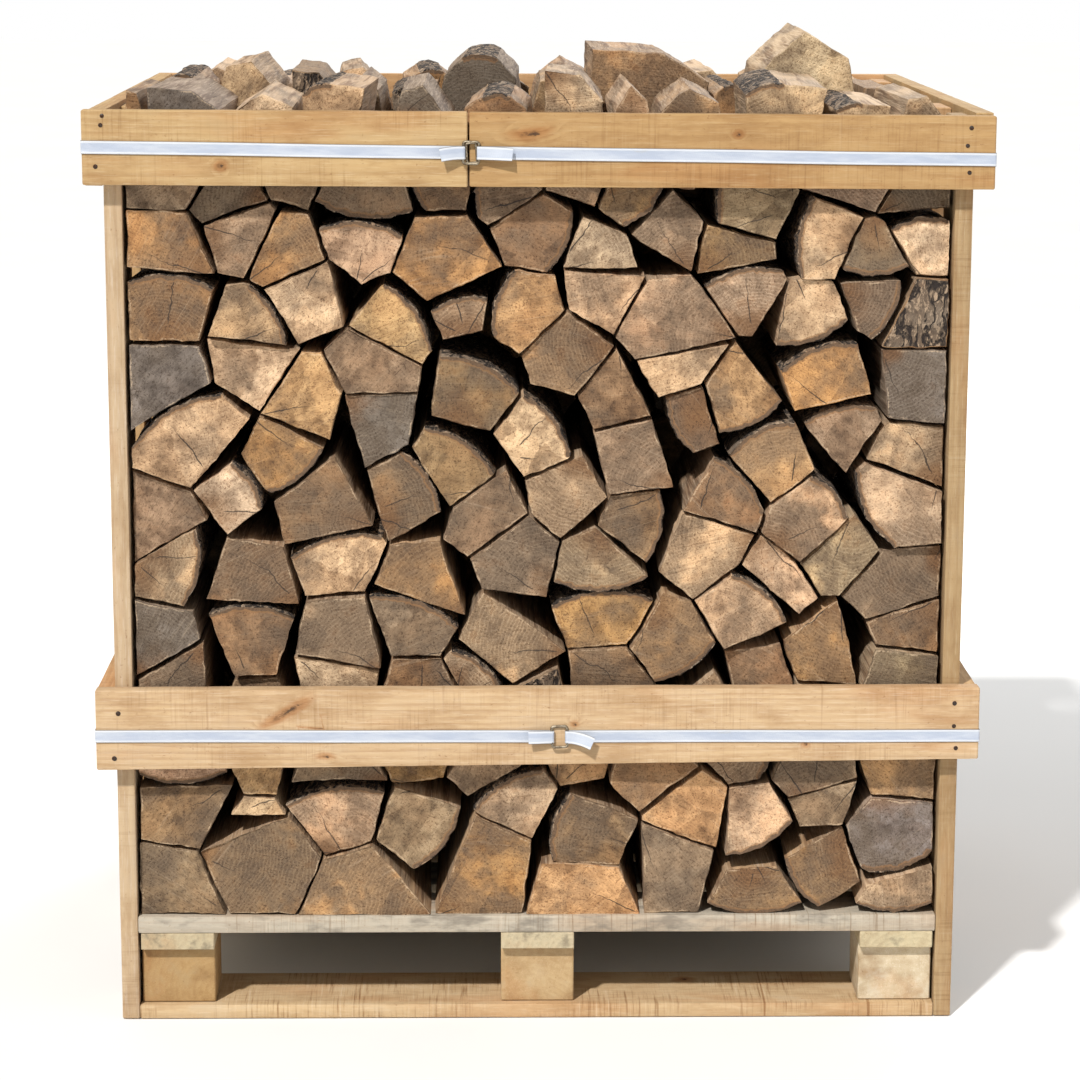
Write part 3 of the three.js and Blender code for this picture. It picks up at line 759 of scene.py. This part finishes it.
# %% Notes on where a log grew and how it was sawn
def sawn_marks(points, grown, rng):
    """Each point's place along and across the saw's marks, which bow a little."""
    angle = rng.uniform(0, math.pi)
    c, s = math.cos(angle), math.sin(angle)
    across = points[:, [0, 2]] @ np.array([[c, -s], [s, c]])
    bow = across[:, 0] + across[:, 1] ** 2 / rng.uniform(300, 900)
    return np.stack([bow, across[:, 1], grown], axis=-1) / 1000


def rind_notes(count, around, rims, ends, barky):
    """How near each point is to bark, and to the rim of an end."""
    rind = np.zeros((count, 3))
    for rim in rims:
        rind[rim : rim + around, 0], rind[rim : rim + around, 1] = barky, 1
    for k, value in enumerate([0.56, 0.06]):
        for end in ends:
            rind[end + k * around : end + (k + 1) * around, 0] = barky * value
    return rind


# %% A log
TONES = {
    "g": (0.26, 0.18, 0.109), "b": (0.53, 0.365, 0.222), "t": (0.42, 0.252, 0.117),
    "o": (0.385, 0.213, 0.083), "p": (0.68, 0.49, 0.318), "k": (0.24, 0.14, 0.06),
    "n": (0.25, 0.148, 0.072), "s": (0.18, 0.158, 0.138),
}
END, SPLIT, BARK = 0, 1, 2
BEVEL, INSETS = 1.2, (4.5, 10)  # mm that an end is drawn in, and from its rim to its outer rings
print("tones of wood:", " ".join(TONES))


def log(kind, outline, barked, front, length, seed, step=STEP, stations=7, yaw=0):
    """front and length run along Y, and yaw is a turn in degrees about the log's middle."""
    rng = np.random.default_rng(seed)
    edge, bark = edge_points(outline, barked, rng, step)
    around, centre = len(edge), edge.mean(0)
    barky = bark | np.roll(bark, 1)
    depths = np.concatenate([[0], np.linspace(BEVEL, length - BEVEL, stations), [length]])
    points = log_sides(edge, barky, depths, BEVEL, rng, seed)

    total = len(points)
    rims = (0, total - around)
    ends = (total, total + around * (len(INSETS) + len(SHRINK)) + 1)
    made = [log_end(points[rim : rim + around], rim, end, INSETS, rim == 0) for rim, end in zip(rims, ends)]
    points = np.concatenate([points, *[new for new, _, _ in made]])
    relief = 3.5 if kind == "k" else 0.6
    slopes = rng.normal(0, 0.03, (4, 2))[2:]  # the first two draws are passed over
    for rim, end, slope in zip(rims, ends, slopes):
        chosen = np.concatenate([np.arange(rim, rim + around), np.arange(end, end + ends[1] - total)])
        flat = points[chosen][:, [0, 2]] - centre
        points[chosen, 1] += flat @ slope + relief * uneven(points[chosen] / 1000, 24, seed + 5)

    pith = heart_of(outline, barked)
    heart = points - [pith[0], 0, pith[1]]
    heart[:, 1] += 10000 * (seed % 97) + 137  # so that no two logs share a pattern
    if kind == "k":
        heart = heart[:, [0, 2, 1]]
    saw = sawn_marks(points, heart[:, 1], rng)
    shade = np.array(TONES[kind]) * rng.uniform(0.9, 1.1) * (1 + rng.normal(0, 0.025, 3))
    tone = np.tile([*shade, rng.uniform()], (len(points), 1))

    side_finish = np.where(np.tile(bark, len(depths) - 1), BARK, SPLIT)
    for bevel_start in (0, (len(depths) - 2) * around):
        side_finish[bevel_start : bevel_start + around] = np.where(bark, BARK, END)
    end_kind = BARK if kind == "k" else END
    placed = points + [0, front, 0]
    if yaw:
        pivot = np.array([centre[0], front + length / 2, centre[1]])
        placed = (placed - pivot) @ np.array(Matrix.Rotation(math.radians(yaw), 3, "Z")).T + pivot
    end_quads = np.concatenate([quads for _, quads, _ in made])
    return body(
        placed * MM, np.concatenate([tube_quads(len(depths), around), end_quads]),
        np.concatenate([fan for _, _, fan in made]),
        np.concatenate([side_finish, np.full(len(end_quads), end_kind)]), np.full(2 * around, end_kind),
        heart=heart * MM, tone=tone, saw=saw, rind=rind_notes(len(points), around, rims, ends, barky),
    )


# %% [markdown]
# ## The stack
# A stacker lays course on course, and each log settles into the dip between the two below it. So the plan
# is only a list of courses from the top down: for each log a letter for the tone of its wood (grey, beige,
# tan, orange, pale, n for nut brown, s for slate grey, or k where bark faces out) and its width in
# millimetres. Each log then gets the ground that is nearer to its middle than to any neighbour's, a
# little more if it is the wider of the two, less a gap. Leaving out the bluntest corners makes wedges of
# them, and opens the dark gaps that a real stack has where three logs meet.

# %% The courses
COURSES = """
g100 g60 n80 g110 n70 g90 b80 t60 n60 g110 p130 g60
o90 b60 o70 b80 o110 n90 p60 b80 o80 b80 g60 p50
o100 b60 b90 t90 b60 t80 b60 b110 p60 b80 g60 k50
s90 b80 t70 g90 n110 t80 n50 b80 t90 o100 s80
b120 o90 s80 n100 b90 b90 n50 t90 g70 b70
g80 p60 n110 n90 g80 b80 n90 n90 b100 b90
b80 n90 b80 o100 g80 b110 b90 p50 b80 g70
s70 n100 g90 g100 b110 o100 t70 b90 o90 n70
g100 t60 b100 n90 p50 k60 n100 b80 n60 p70 g90
b90 t90 g90 o90 b90 t90 n90 b90 g90 t90
n90 b80 b100 g100 b90 n110 t90 b80 g60 s100
g90 n120 t130 o130 t110 g100 o90 o90 b80
""".split("\n")[1:-1]
bay_low, bay_high = (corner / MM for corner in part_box("log_row_front"))
DECK_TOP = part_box("deck_board_1")[1].z / MM
STACK_TOP = 1098
STACK_GAP = 3.8  # mm: each log keeps back from the line between it and a neighbour by about half this
NEIGHBOURS = 260  # mm between middles, past which two logs can't touch
print(len(COURSES), "courses in", round(STACK_TOP - DECK_TOP), "mm")


def log_middles(seed):
    """The letter, width and middle of every log in the plan, with each course a little uneven."""
    rng = np.random.default_rng(seed)
    height = (STACK_TOP - DECK_TOP) / len(COURSES)
    found = []
    for course, plan in enumerate(COURSES):
        logs = [(word[0], float(word[1:])) for word in plan.split()]
        share = (bay_high.x - bay_low.x) / sum(width for _, width in logs)
        at = bay_low.x
        for i, (kind, width) in enumerate(logs):
            lift = ((i + course) % 2 - 0.5) * 0.5 + rng.uniform(-0.2, 0.2)
            up = STACK_TOP - height * (course + 0.5 + lift)
            found.append((kind, width, np.array([at + width * share / 2 + rng.uniform(-11, 11), up])))
            at += width * share
    return found


# %% Sharing out the wall
def cut(outline, normal, limit):
    """What is left of a convex outline on the near side of a line."""
    side = outline @ normal - limit
    kept = []
    for k in range(len(outline)):
        a, b, here, there = outline[k - 1], outline[k], side[k - 1], side[k]
        if (here > 0) != (there > 0):
            kept.append(a + (b - a) * here / (here - there))
        if there <= 0:
            kept.append(b)
    return np.array(kept)


def blunted(outline, corners):
    """The outline with its bluntest corners left out, one by one, until few enough are left."""
    while len(outline) > corners:
        before, after = np.roll(outline, 1, 0) - outline, np.roll(outline, -1, 0) - outline
        lost = np.abs(before[:, 0] * after[:, 1] - before[:, 1] * after[:, 0])
        outline = np.delete(outline, np.argmin(lost), 0)
    return outline


def barked_outline(outline, rng):
    """Cut one long edge back, so that its arc of bark just fills the room again."""
    edges = np.roll(outline, -1, 0) - outline
    lengths = np.linalg.norm(edges, axis=1)
    k = int(np.argmax(lengths * rng.uniform(0.6, 1, len(lengths))))
    normal = np.array([edges[k][1], -edges[k][0]]) / lengths[k]
    limit = outline[k] @ normal - SWELL * min(lengths[k], 100)
    outline = cut(outline, normal, limit)
    on_line = np.abs(outline @ normal - limit) < 0.01
    return outline, [i for i in range(len(outline)) if on_line[i] and on_line[(i + 1) % len(outline)]]


def wall_of_logs(seed):
    rng = np.random.default_rng(seed)
    found = log_middles(seed)
    left, right = bay_low.x, bay_high.x
    bay = np.array([(left, DECK_TOP), (right, DECK_TOP), (right, STACK_TOP), (left, STACK_TOP)])
    outlines = []
    for kind, width, middle in found:
        outline = bay
        for _, other_width, other in found:
            apart = np.linalg.norm(other - middle)
            if 0 < apart < NEIGHBOURS:
                normal = (other - middle) / apart
                room = apart / 2 + (width**2 - other_width**2) / (12 * apart)
                outline = cut(outline, normal, middle @ normal + room - STACK_GAP * rng.uniform(0.2, 0.8))
        outline = blunted(outline, rng.choice([4, 4, 4, 5, 5]))
        outline, barked = barked_outline(outline, rng) if rng.random() < 0.45 else (outline, [])
        outlines.append((kind, *wound(outline, barked)))
    return outlines


FRONT_ROW = wall_of_logs(21)
print(len(FRONT_ROW), "logs in a row, with", sum(len(o) for _, o, _ in FRONT_ROW), "corners")

# %% [markdown]
# ## Three rows
# The front row keeps that layout. The back row is the same stack seen upside down, which no one would
# know, since both rows show only their outer ends, and the middle row is turned left to right and made
# plainly, because it shows only as dark wood deep in the gaps. Neighbouring logs are joined in groups,
# so that the crate stays a manageable number of pieces.

# %% Building the rows
LOG_FINISHES = [end_finish, split_finish, bark_finish]


def row(name, node, flip, ends, seed, groups, **detail):
    low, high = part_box(node)
    near, far = low.y / MM, high.y / MM
    bodies = []
    for i, (kind, outline, barked) in enumerate(FRONT_ROW):
        rng = np.random.default_rng(seed + i)
        outline, barked = mirrored(outline, barked, flip)
        recess = 2 + 15 * rng.beta(1.4, 1.8)
        length = far - near - recess - 3
        front = near + recess if ends < 0 else near + 2
        bodies.append((outline.mean(0), log(kind, outline, barked, front, length, seed + i, **detail)))
    bodies.sort(key=lambda item: (round(item[0][1] / 130), item[0][0]))
    made = [assemble(f"{name}_{k + 1}", [b for _, b in chunk], LOG_FINISHES)
            for k, chunk in enumerate(split_evenly(bodies, groups))]
    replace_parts(made[0], node)
    print(name, len(bodies), "logs,", sum(map(triangle_count, made)), "triangles in", groups, "pieces")


def split_evenly(items, groups):
    cuts = np.linspace(0, len(items), groups + 1).round().astype(int)
    return [items[a:b] for a, b in zip(cuts[:-1], cuts[1:])]


upside_down = ((1, -1), (0, DECK_TOP + STACK_TOP))
row("front_logs", "log_row_front", ((1, 1), (0, 0)), -1, 1000, 24)
row("middle_logs", "log_row_middle", ((-1, 1), (0, 0)), 0, 2000, 8, step=18, stations=3)
row("back_logs", "log_row_back", upside_down, 1, 3000, 24)

# %% [markdown]
# ## Logs heaped on top
# The loose logs were thrown on and lie a little askew. The model has the twelve largest, so each of
# those fills its own box. Smaller logs are then dropped into every gap left between them, and a third
# line of them lies behind. A few listed wedges, in shares of the width and height, give the shapes.

# %% The heap
WEDGES = [
    ([(0, 0), (0.06, 0.62), (0.3, 0.86), (0.72, 0.86), (0.95, 0.6), (1, 0)], [2]),
    ([(0, 0), (0.03, 1), (0.62, 0.95), (1, 0.55), (0.96, 0)], []),
    ([(0, 0), (0.1, 0.55), (0.5, 1), (0.9, 0.7), (1, 0)], []),
    ([(0.05, 0), (0, 0.7), (0.45, 0.88), (1, 0.8), (0.9, 0)], [1]),
    ([(0, 0), (0.2, 0.9), (0.55, 1), (1, 0.3), (0.98, 0)], []),
]
BIG_TONES = "spbstptbbstp"
LINES = [range(1, 9), range(9, 13)]  # the model's logs in the front line and in the second
heap_rng = np.random.default_rng(404)
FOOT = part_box("crown_log_1")[0].z / MM
print("the heap stands at", round(FOOT), "mm")


def heap_log(kind, left, right, front, height, length, yaw, seed):
    corners, barked = WEDGES[seed % len(WEDGES)]
    lean = length * abs(math.sin(math.radians(yaw)))
    size = np.array([right - left - lean, height])
    outline, barked = wound(np.array(corners) * size + (left + lean / 2, FOOT + 1), barked)
    return log(kind, outline, barked, front, length, 4000 + seed, step=5, stations=14, yaw=yaw)


spare = []
LEAST, MOST = 20, 80  # mm: a narrower gap stays empty, and a wider one takes several logs


def drop_in(left, right, tones, front, height, length, yaw):
    """One more small log. front, height and yaw are the least and most that chance may give it."""
    kind = heap_rng.choice(list(tones))
    front, height, yaw = (heap_rng.uniform(*limits) for limits in (front, height, yaw))
    spare.append(heap_log(kind, left, right, front, height, length, yaw, 21 + len(spare)))


def fill_gap(start, stop, near):
    count = max(0, math.ceil((stop - start - LEAST) / MOST))
    cuts = [start + (stop - start) * k / count for k in range(count + 1)] if count else []
    for left, right in zip(cuts[:-1], cuts[1:]):
        drop_in(left + 2, right - 2, "bkptgk", (near + 2, near + 12), (44, 66), 284, (-1, 1))


# %% Laying the heap
for line in LINES:
    edge = bay_low.x
    for i in line:
        low, high = (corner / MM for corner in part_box(f"crown_log_{i}"))
        yaw = heap_rng.uniform(-2, 2)
        height, length = high.z - FOOT - 2, high.y - low.y - 6
        made = heap_log(BIG_TONES[i - 1], low.x, high.x, low.y + 3, height, length, yaw, i)
        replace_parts(assemble(f"heap_log_{i}", [made], LOG_FINISHES), f"crown_log_{i}")
        fill_gap(edge, low.x, low.y)
        edge = high.x
    fill_gap(edge, bay_high.x, low.y)
third = np.linspace(bay_low.x + 12, bay_high.x - 12, 11)
for left, right in zip(third[:-1], third[1:]):
    drop_in(left + 3, right - 3, "pbtog", (152, 158), (40, 64), 286, (-3, 3))
for k, chunk in enumerate(split_evenly(spare, 6)):
    assemble(f"heap_logs_{k + 1}", chunk, LOG_FINISHES)
print("heaped logs: 12 large and", len(spare), "smaller")

# %% [markdown]
# ## Nails
# Nails hold the boards where they cross, driven until their flat heads just dent the wood. The front
# ones show, so they are placed one by one, and the rest come in pairs, worked out from the boards. A
# head is a low dome of eleven points round, a few millimetres across, and rusts in patches.

# %% Nail heads
def nail_finish():
    f = Finish("rusty_nail")
    place = f.node("ShaderNodeTexCoord", {}, {}, "Object")
    rust = f.ease(f.noise(place, 380, 4, 0.6), 0.42, 0.62)
    colour = f.mix(rust, (0.05, 0.042, 0.037), (0.075, 0.03, 0.013))
    return f.surface(colour, 0.45 + rust * 0.4, f.bump(rust, 0.0002), Metallic=0.7)


def nail(at, axis, sign, seed):
    rng = np.random.default_rng(seed)
    around = 11
    angle = np.arange(around) / around * 2 * math.pi
    rings = [(2.9, -1.4), (2.9, 0.25), (2.4, 0.5), (1.2, 0.6)]
    radial = np.stack([np.cos(angle), np.sin(angle)], axis=-1) * rng.uniform(0.86, 1.1)
    flat = np.concatenate([radial * r for r, _ in rings] + [[[0, 0], [0, 0]]])
    up = np.concatenate([np.full(around, h) for _, h in rings] + [[-1.4, 0.8]])
    up = up + flat @ rng.normal(0, 0.05, 2)
    points = np.zeros((len(flat), 3))
    others = [(axis + 1) % 3, (axis + 2) % 3]
    points[:, others] = flat * [1, sign]
    points[:, axis] = up * sign
    quads, fans = tube_quads(len(rings), around), end_fans(len(rings), around)
    return body(points * MM + np.array(at), quads, fans, np.zeros(len(quads)), np.zeros(len(fans)))


def crossing(a, b, axis, sign, spread):
    """Two nails through board a into board b, on the face of a that looks along the axis."""
    (a0, a1), (b0, b1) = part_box(a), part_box(b)
    middle = [(max(a0[k], b0[k]) + min(a1[k], b1[k])) / 2 for k in range(3)]
    middle[axis] = a1[axis] if sign > 0 else a0[axis]
    return [(Vector(middle) + Vector(spread) * s * MM, axis, sign) for s in (-1, 1)]


# %% Where the nails go
front_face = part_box("mid_rail_front")[0].y
nail_places = [((x * MM, front_face, z * MM), 1, -1) for x, z in (
    (-519, 1130), (-521, 1119), (-528, 1070), (514, 1117), (510, 1096), (513, 1064),
    (-516, 401), (-522, 344), (513, 412), (513, 383), (516, 355))]
for belt, spread in (("top", 24), ("mid", 26)):
    for side, sign in (("left", -1), ("right", 1)):
        for i in range(5):
            slant = (0, 17 * (-1) ** i, spread)
            nail_places += crossing(f"{belt}_rail_{side}", f"upright_{side}_{i + 1}", 0, sign, slant)
        nail_places += crossing(f"{belt}_rail_back", f"{belt}_rail_{side}", 1, 1, (0, 0, spread))
for side, sign in (("left", -1), ("right", 1)):
    for i in range(5):
        nail_places += crossing(f"upright_{side}_{i + 1}", f"stringer_{side}", 0, sign, (0, 26, 3))
        if i % 2 == 0:
            block = f"block_{BACKWARDS[i // 2]}_{side}"
            nail_places += crossing(f"upright_{side}_{i + 1}", block, 0, sign, (0, 22, 14))
for stringer in STRINGERS:
    for board_name in DECK:
        nail_places += crossing(board_name, stringer, 2, 1, (28, 22, 0))
heads = [nail(*place, 5000 + i) for i, place in enumerate(nail_places)]
nails = assemble("nail_heads", heads, [nail_finish()])
print(len(nail_places), "nails,", triangle_count(nails), "triangles")

# %% [markdown]
# ## Straps
# A woven polyester strap goes once round each belt and folds back through a wire buckle at the front.
# It is a ribbon swept along its own middle line: along the rails, round their corners, and round each
# side bar of the buckle into a short loose tail. Its finish is a fine cord weave, white with a cold
# cast, with a doubled edge.

# %% Finish of the strap
def woven_strap():
    f = Finish("white_strap")
    u, v, _ = f.parts(f.attribute("weave"))
    cords = abs((v / 0.00125) % 1.0 - 0.5)
    picks = abs(((u + v * 0.3) / 0.0021) % 1.0 - 0.5)
    place = f.attribute("weave")
    soil = f.noise(f.stretched(place, (14, 90, 1)), 1.0, 4, 0.65)
    sheen = f.noise(f.stretched(place, (60, 700, 1)), 1.0, 2)
    edge = f.ease(abs(v), 0.0045, 0.006)
    colour = f.mix(f.ease(soil, 0.38, 0.66), (0.40, 0.45, 0.55), (0.51, 0.55, 0.62))
    colour = f.mix(f.ease(cords, 0.2, 0.0) * 0.35, colour, (0.33, 0.37, 0.46))
    colour = f.mix(edge * 0.7, colour, (0.70, 0.715, 0.735))
    # A thin dark line along both edges is painted shadow, where the strap stands off the rail.
    colour = f.mix(f.ease(abs(v), 0.0071, 0.0077) * 0.85, colour, (0.13, 0.115, 0.10))
    colour = f.mix(f.ease(soil, 0.36, 0.24) * 0.5, colour, (0.42, 0.39, 0.33))
    height = f.ease(cords, 0.0, 0.5) + picks * 0.6 + edge * 0.6
    return f.surface(colour, 0.5 - sheen * 0.15, f.bump(height, 0.00025))


# %% A ribbon along a line
def ribbon(line, width_way, width, thickness):
    """line is the middle of the ribbon and width_way the way across it at each point."""
    along = np.gradient(line, axis=0)
    along /= np.linalg.norm(along, axis=1, keepdims=True)
    width_way = width_way - along * np.sum(width_way * along, axis=1, keepdims=True)
    width_way /= np.linalg.norm(width_way, axis=1, keepdims=True)
    out = np.cross(along, width_way)
    across = np.array([-1, -0.9, -0.6, -0.3, 0, 0.3, 0.6, 0.9, 1])
    thick = np.array([0.3, 0.9, 0.62, 0.6, 0.6, 0.6, 0.62, 0.9, 0.3])
    rim = [(c, t) for c, t in zip(across, thick)] + [(c, -t) for c, t in zip(across[::-1], thick[::-1])]
    rim = np.array(rim) * [width / 2, thickness / 2 / 0.9]
    points = line[:, None] + rim[None, :, :1] * width_way[:, None] + rim[None, :, 1:] * out[:, None]
    around = len(rim)
    quads = tube_quads(len(line), around)[:, ::-1]
    gone = np.concatenate([[0], np.cumsum(np.linalg.norm(np.diff(line, axis=0), axis=1))])
    weave = np.stack(np.broadcast_arrays(gone[:, None], rim[None, :, 0], 0 * gone[:, None]), axis=-1)
    first, last = np.arange(9), len(line) * around - around + np.arange(9)
    under = around - 1 - np.arange(9)
    caps = [np.stack([k[:-1], k[1:], k[0] + under[1:], k[0] + under[:-1]], axis=-1) for k in (first, last)]
    caps = np.concatenate([caps[0], caps[1][:, ::-1]])
    return body(points.reshape(-1, 3), np.concatenate([quads, caps]), np.zeros((0, 3), int),
                np.zeros(len(quads) + 16), np.zeros(0), weave=weave.reshape(-1, 3))


# %% The two straps
def bend(cx, cy, radius, start, stop, steps):
    a = np.radians(np.linspace(start, stop, steps + 1))
    return [(cx + radius * math.cos(t), cy + radius * math.sin(t)) for t in a]


def straightened(corners, longest=9):
    """The same line with no two points further apart than `longest`."""
    line = []
    for a, b in zip(corners[:-1], corners[1:]):
        steps = max(1, math.ceil(math.dist(a, b) / longest))
        line += [(a[0] + (b[0] - a[0]) * k / steps, a[1] + (b[1] - a[1]) * k / steps) for k in range(steps)]
    return np.array(line + [corners[-1]])


BAR_HALF, WIRE, STRAP_WIDTH, STRAP_THICK = 9.4, 1.8, 16, 0.8
strap_finish = woven_strap()
print(strap_finish.name, len(strap_finish.node_tree.nodes), "nodes")


def strap(belt, x, z, slope, left_tail, right_tail, left_drop, right_drop, seed):
    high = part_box(f"{belt}_strap")[1] / MM
    half_x, back = high.x - STRAP_THICK / 2, high.y - STRAP_THICK / 2
    fold = WIRE + 0.3 + STRAP_THICK / 2
    bar = -back - fold
    tail = bar - fold
    corner = 1.8
    left, right = x - BAR_HALF, x + BAR_HALF
    path = [(left - left_tail, tail - 2.4), (left - left_tail * 0.6, tail - 1.6), (left - 6, tail)]
    path += bend(left, bar, fold, -90, 90, 10)
    path += bend(-half_x + corner, -back + corner, corner, 270, 180, 5)
    path += bend(-half_x + corner, back - corner, corner, 180, 90, 5)
    path += bend(half_x - corner, back - corner, corner, 90, 0, 5)
    path += bend(half_x - corner, -back + corner, corner, 0, -90, 5)
    path += bend(right, bar, fold, 90, 270, 10)
    path += [(right + 6, tail), (right + right_tail * 0.6, tail - 1.6), (right + right_tail, tail - 2.8)]
    flat = straightened(path)
    line = np.column_stack([flat, z + slope * flat[:, 0]]) * MM
    line[:, 2] += uneven(line * [1, 1, 0], 2.2, seed) * 0.5 * MM
    in_front = flat[:, 1] < bar
    for side, drop, tail_length in ((-1, left_drop, left_tail), (1, right_drop, right_tail)):
        gone = np.clip((side * (flat[:, 0] - x) - BAR_HALF) / tail_length, 0, 1) * in_front
        line[:, 2] -= gone**2 * drop * MM
        line[:, 1] -= gone**2 * abs(drop) * 0.5 * MM
    lean = np.tile([0.0, 0.0, 1.0], (len(line), 1))
    curl = np.clip(np.abs(flat[:, 0] - x) - BAR_HALF, 0, 40) / 40 * in_front
    lean[:, 1] += curl * 0.35
    made = ribbon(line, lean, STRAP_WIDTH * MM, STRAP_THICK * MM)
    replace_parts(assemble(f"{belt}_woven_strap", [made], [strap_finish], 60), f"{belt}_strap")
    print(belt, "strap:", round(np.linalg.norm(np.diff(line, axis=0), axis=1).sum(), 3), "m long")
    return bar


# %% [markdown]
# ## Buckles
# Each buckle is one length of zinc-plated wire bent into an oblong ring with round corners. The strap's
# pull lets it stand a little off the rail and lean. A ring is a small circle carried round the oblong.

# %% Buckles
def dull_wire():
    f = Finish("dull_zinc_wire")
    place = f.node("ShaderNodeTexCoord", {}, {}, "Object")
    cloud = f.noise(place, 260, 4, 0.6)
    drawn = f.noise(place, 2400, 2)
    colour = f.mix(f.ease(cloud, 0.4, 0.62), (0.16, 0.125, 0.085), (0.36, 0.31, 0.23))
    colour = f.mix(f.ease(cloud, 0.36, 0.26) * 0.7, colour, (0.11, 0.06, 0.03))
    return f.surface(colour, 0.36 + cloud * 0.25, f.bump(cloud + drawn * 0.4, 0.0002), Metallic=0.9)


wire_finish = dull_wire()
print(wire_finish.name, len(wire_finish.node_tree.nodes), "nodes")


def wire_ring(centre, half_width, half_height, radius, lean, corner=3.2):
    corners = [(1, 1, 0), (-1, 1, 90), (-1, -1, 180), (1, -1, 270)]
    line = []
    for sx, sz, start in corners:
        line += bend(sx * (half_width - corner), sz * (half_height - corner), corner, start, start + 90, 6)
    line = straightened(line + [line[0]], 3)[:-1]
    ahead = np.roll(line, -1, 0) - np.roll(line, 1, 0)
    ahead /= np.linalg.norm(ahead, axis=1, keepdims=True)
    outward = np.column_stack([ahead[:, 1], -ahead[:, 0]])
    angle = np.arange(12) / 12 * 2 * math.pi
    ring = line[:, None] + outward[:, None] * np.cos(angle)[None, :, None] * radius
    depth = np.broadcast_to(np.sin(angle) * radius, ring.shape[:2])
    points = np.stack([ring[..., 0], depth, ring[..., 1]], axis=-1).reshape(-1, 3)
    quads = tube_quads(len(line) + 1, 12) % len(points)
    forward, sideways = (Matrix.Rotation(math.radians(a), 3, axis) for a, axis in zip(lean, "XY"))
    points = points @ np.array(forward @ sideways).T + np.array(centre)
    return body(points * MM, quads, np.zeros((0, 3), int), np.zeros(len(quads)), np.zeros(0))


BUCKLE_HEIGHT = 12.8
for belt, x, z, slope, tails, drops, leans in (
    ("top", -82, 1086, -0.0123, (27, 40), (3, 1), ((-7, 2), (4, -4))),
    ("mid", 26, 371.5, -0.001, (29, 31), (0, 7), ((-9, -2),)),
):
    bar = strap(belt, x, z, slope, *tails, *drops, seed=70 + len(belt))
    up = z + slope * x
    rings = [wire_ring((x, bar, up), BAR_HALF, BUCKLE_HEIGHT, WIRE, leans[0])]
    if len(leans) > 1:  # a thinner ring lies inside the first
        inner = (BAR_HALF - 3.6, BUCKLE_HEIGHT - 1.2, 1.2)
        rings.append(wire_ring((x + 0.6, bar - 0.4, up), *inner, leans[1], 2.4))
    piece = assemble(f"{belt}_wire_buckle", rings, [wire_finish], 60)
    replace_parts(piece, f"{belt}_buckle")
    print(belt, "buckle:", len(rings), "wire rings")

# %% [markdown]
# ## The floor
# A wide pale floor a millimetre under the crate takes its shadow and no more.

# %% The floor
HALF, DROP = 30, -0.001
floor_mesh = bpy.data.meshes.new("floor")
corners = [(x * HALF, y * HALF, DROP) for x, y in ((-1, -1), (1, -1), (1, 1), (-1, 1))]
floor_mesh.from_pydata(corners, [], [(0, 1, 2, 3)])
floor = bpy.data.objects.new("floor", floor_mesh)
bpy.context.scene.collection.objects.link(floor)
f = Finish("pale_floor")
spot = f.node("ShaderNodeTexCoord", {}, {}, "Object")
speck = f.noise(spot, 2.5, 3)
floor_mesh.materials.append(
    f.surface(f.mix(speck, (0.80, 0.80, 0.79), (0.84, 0.84, 0.83)), 0.6 + speck * 0.2, f.bump(speck, 0.0005))
)
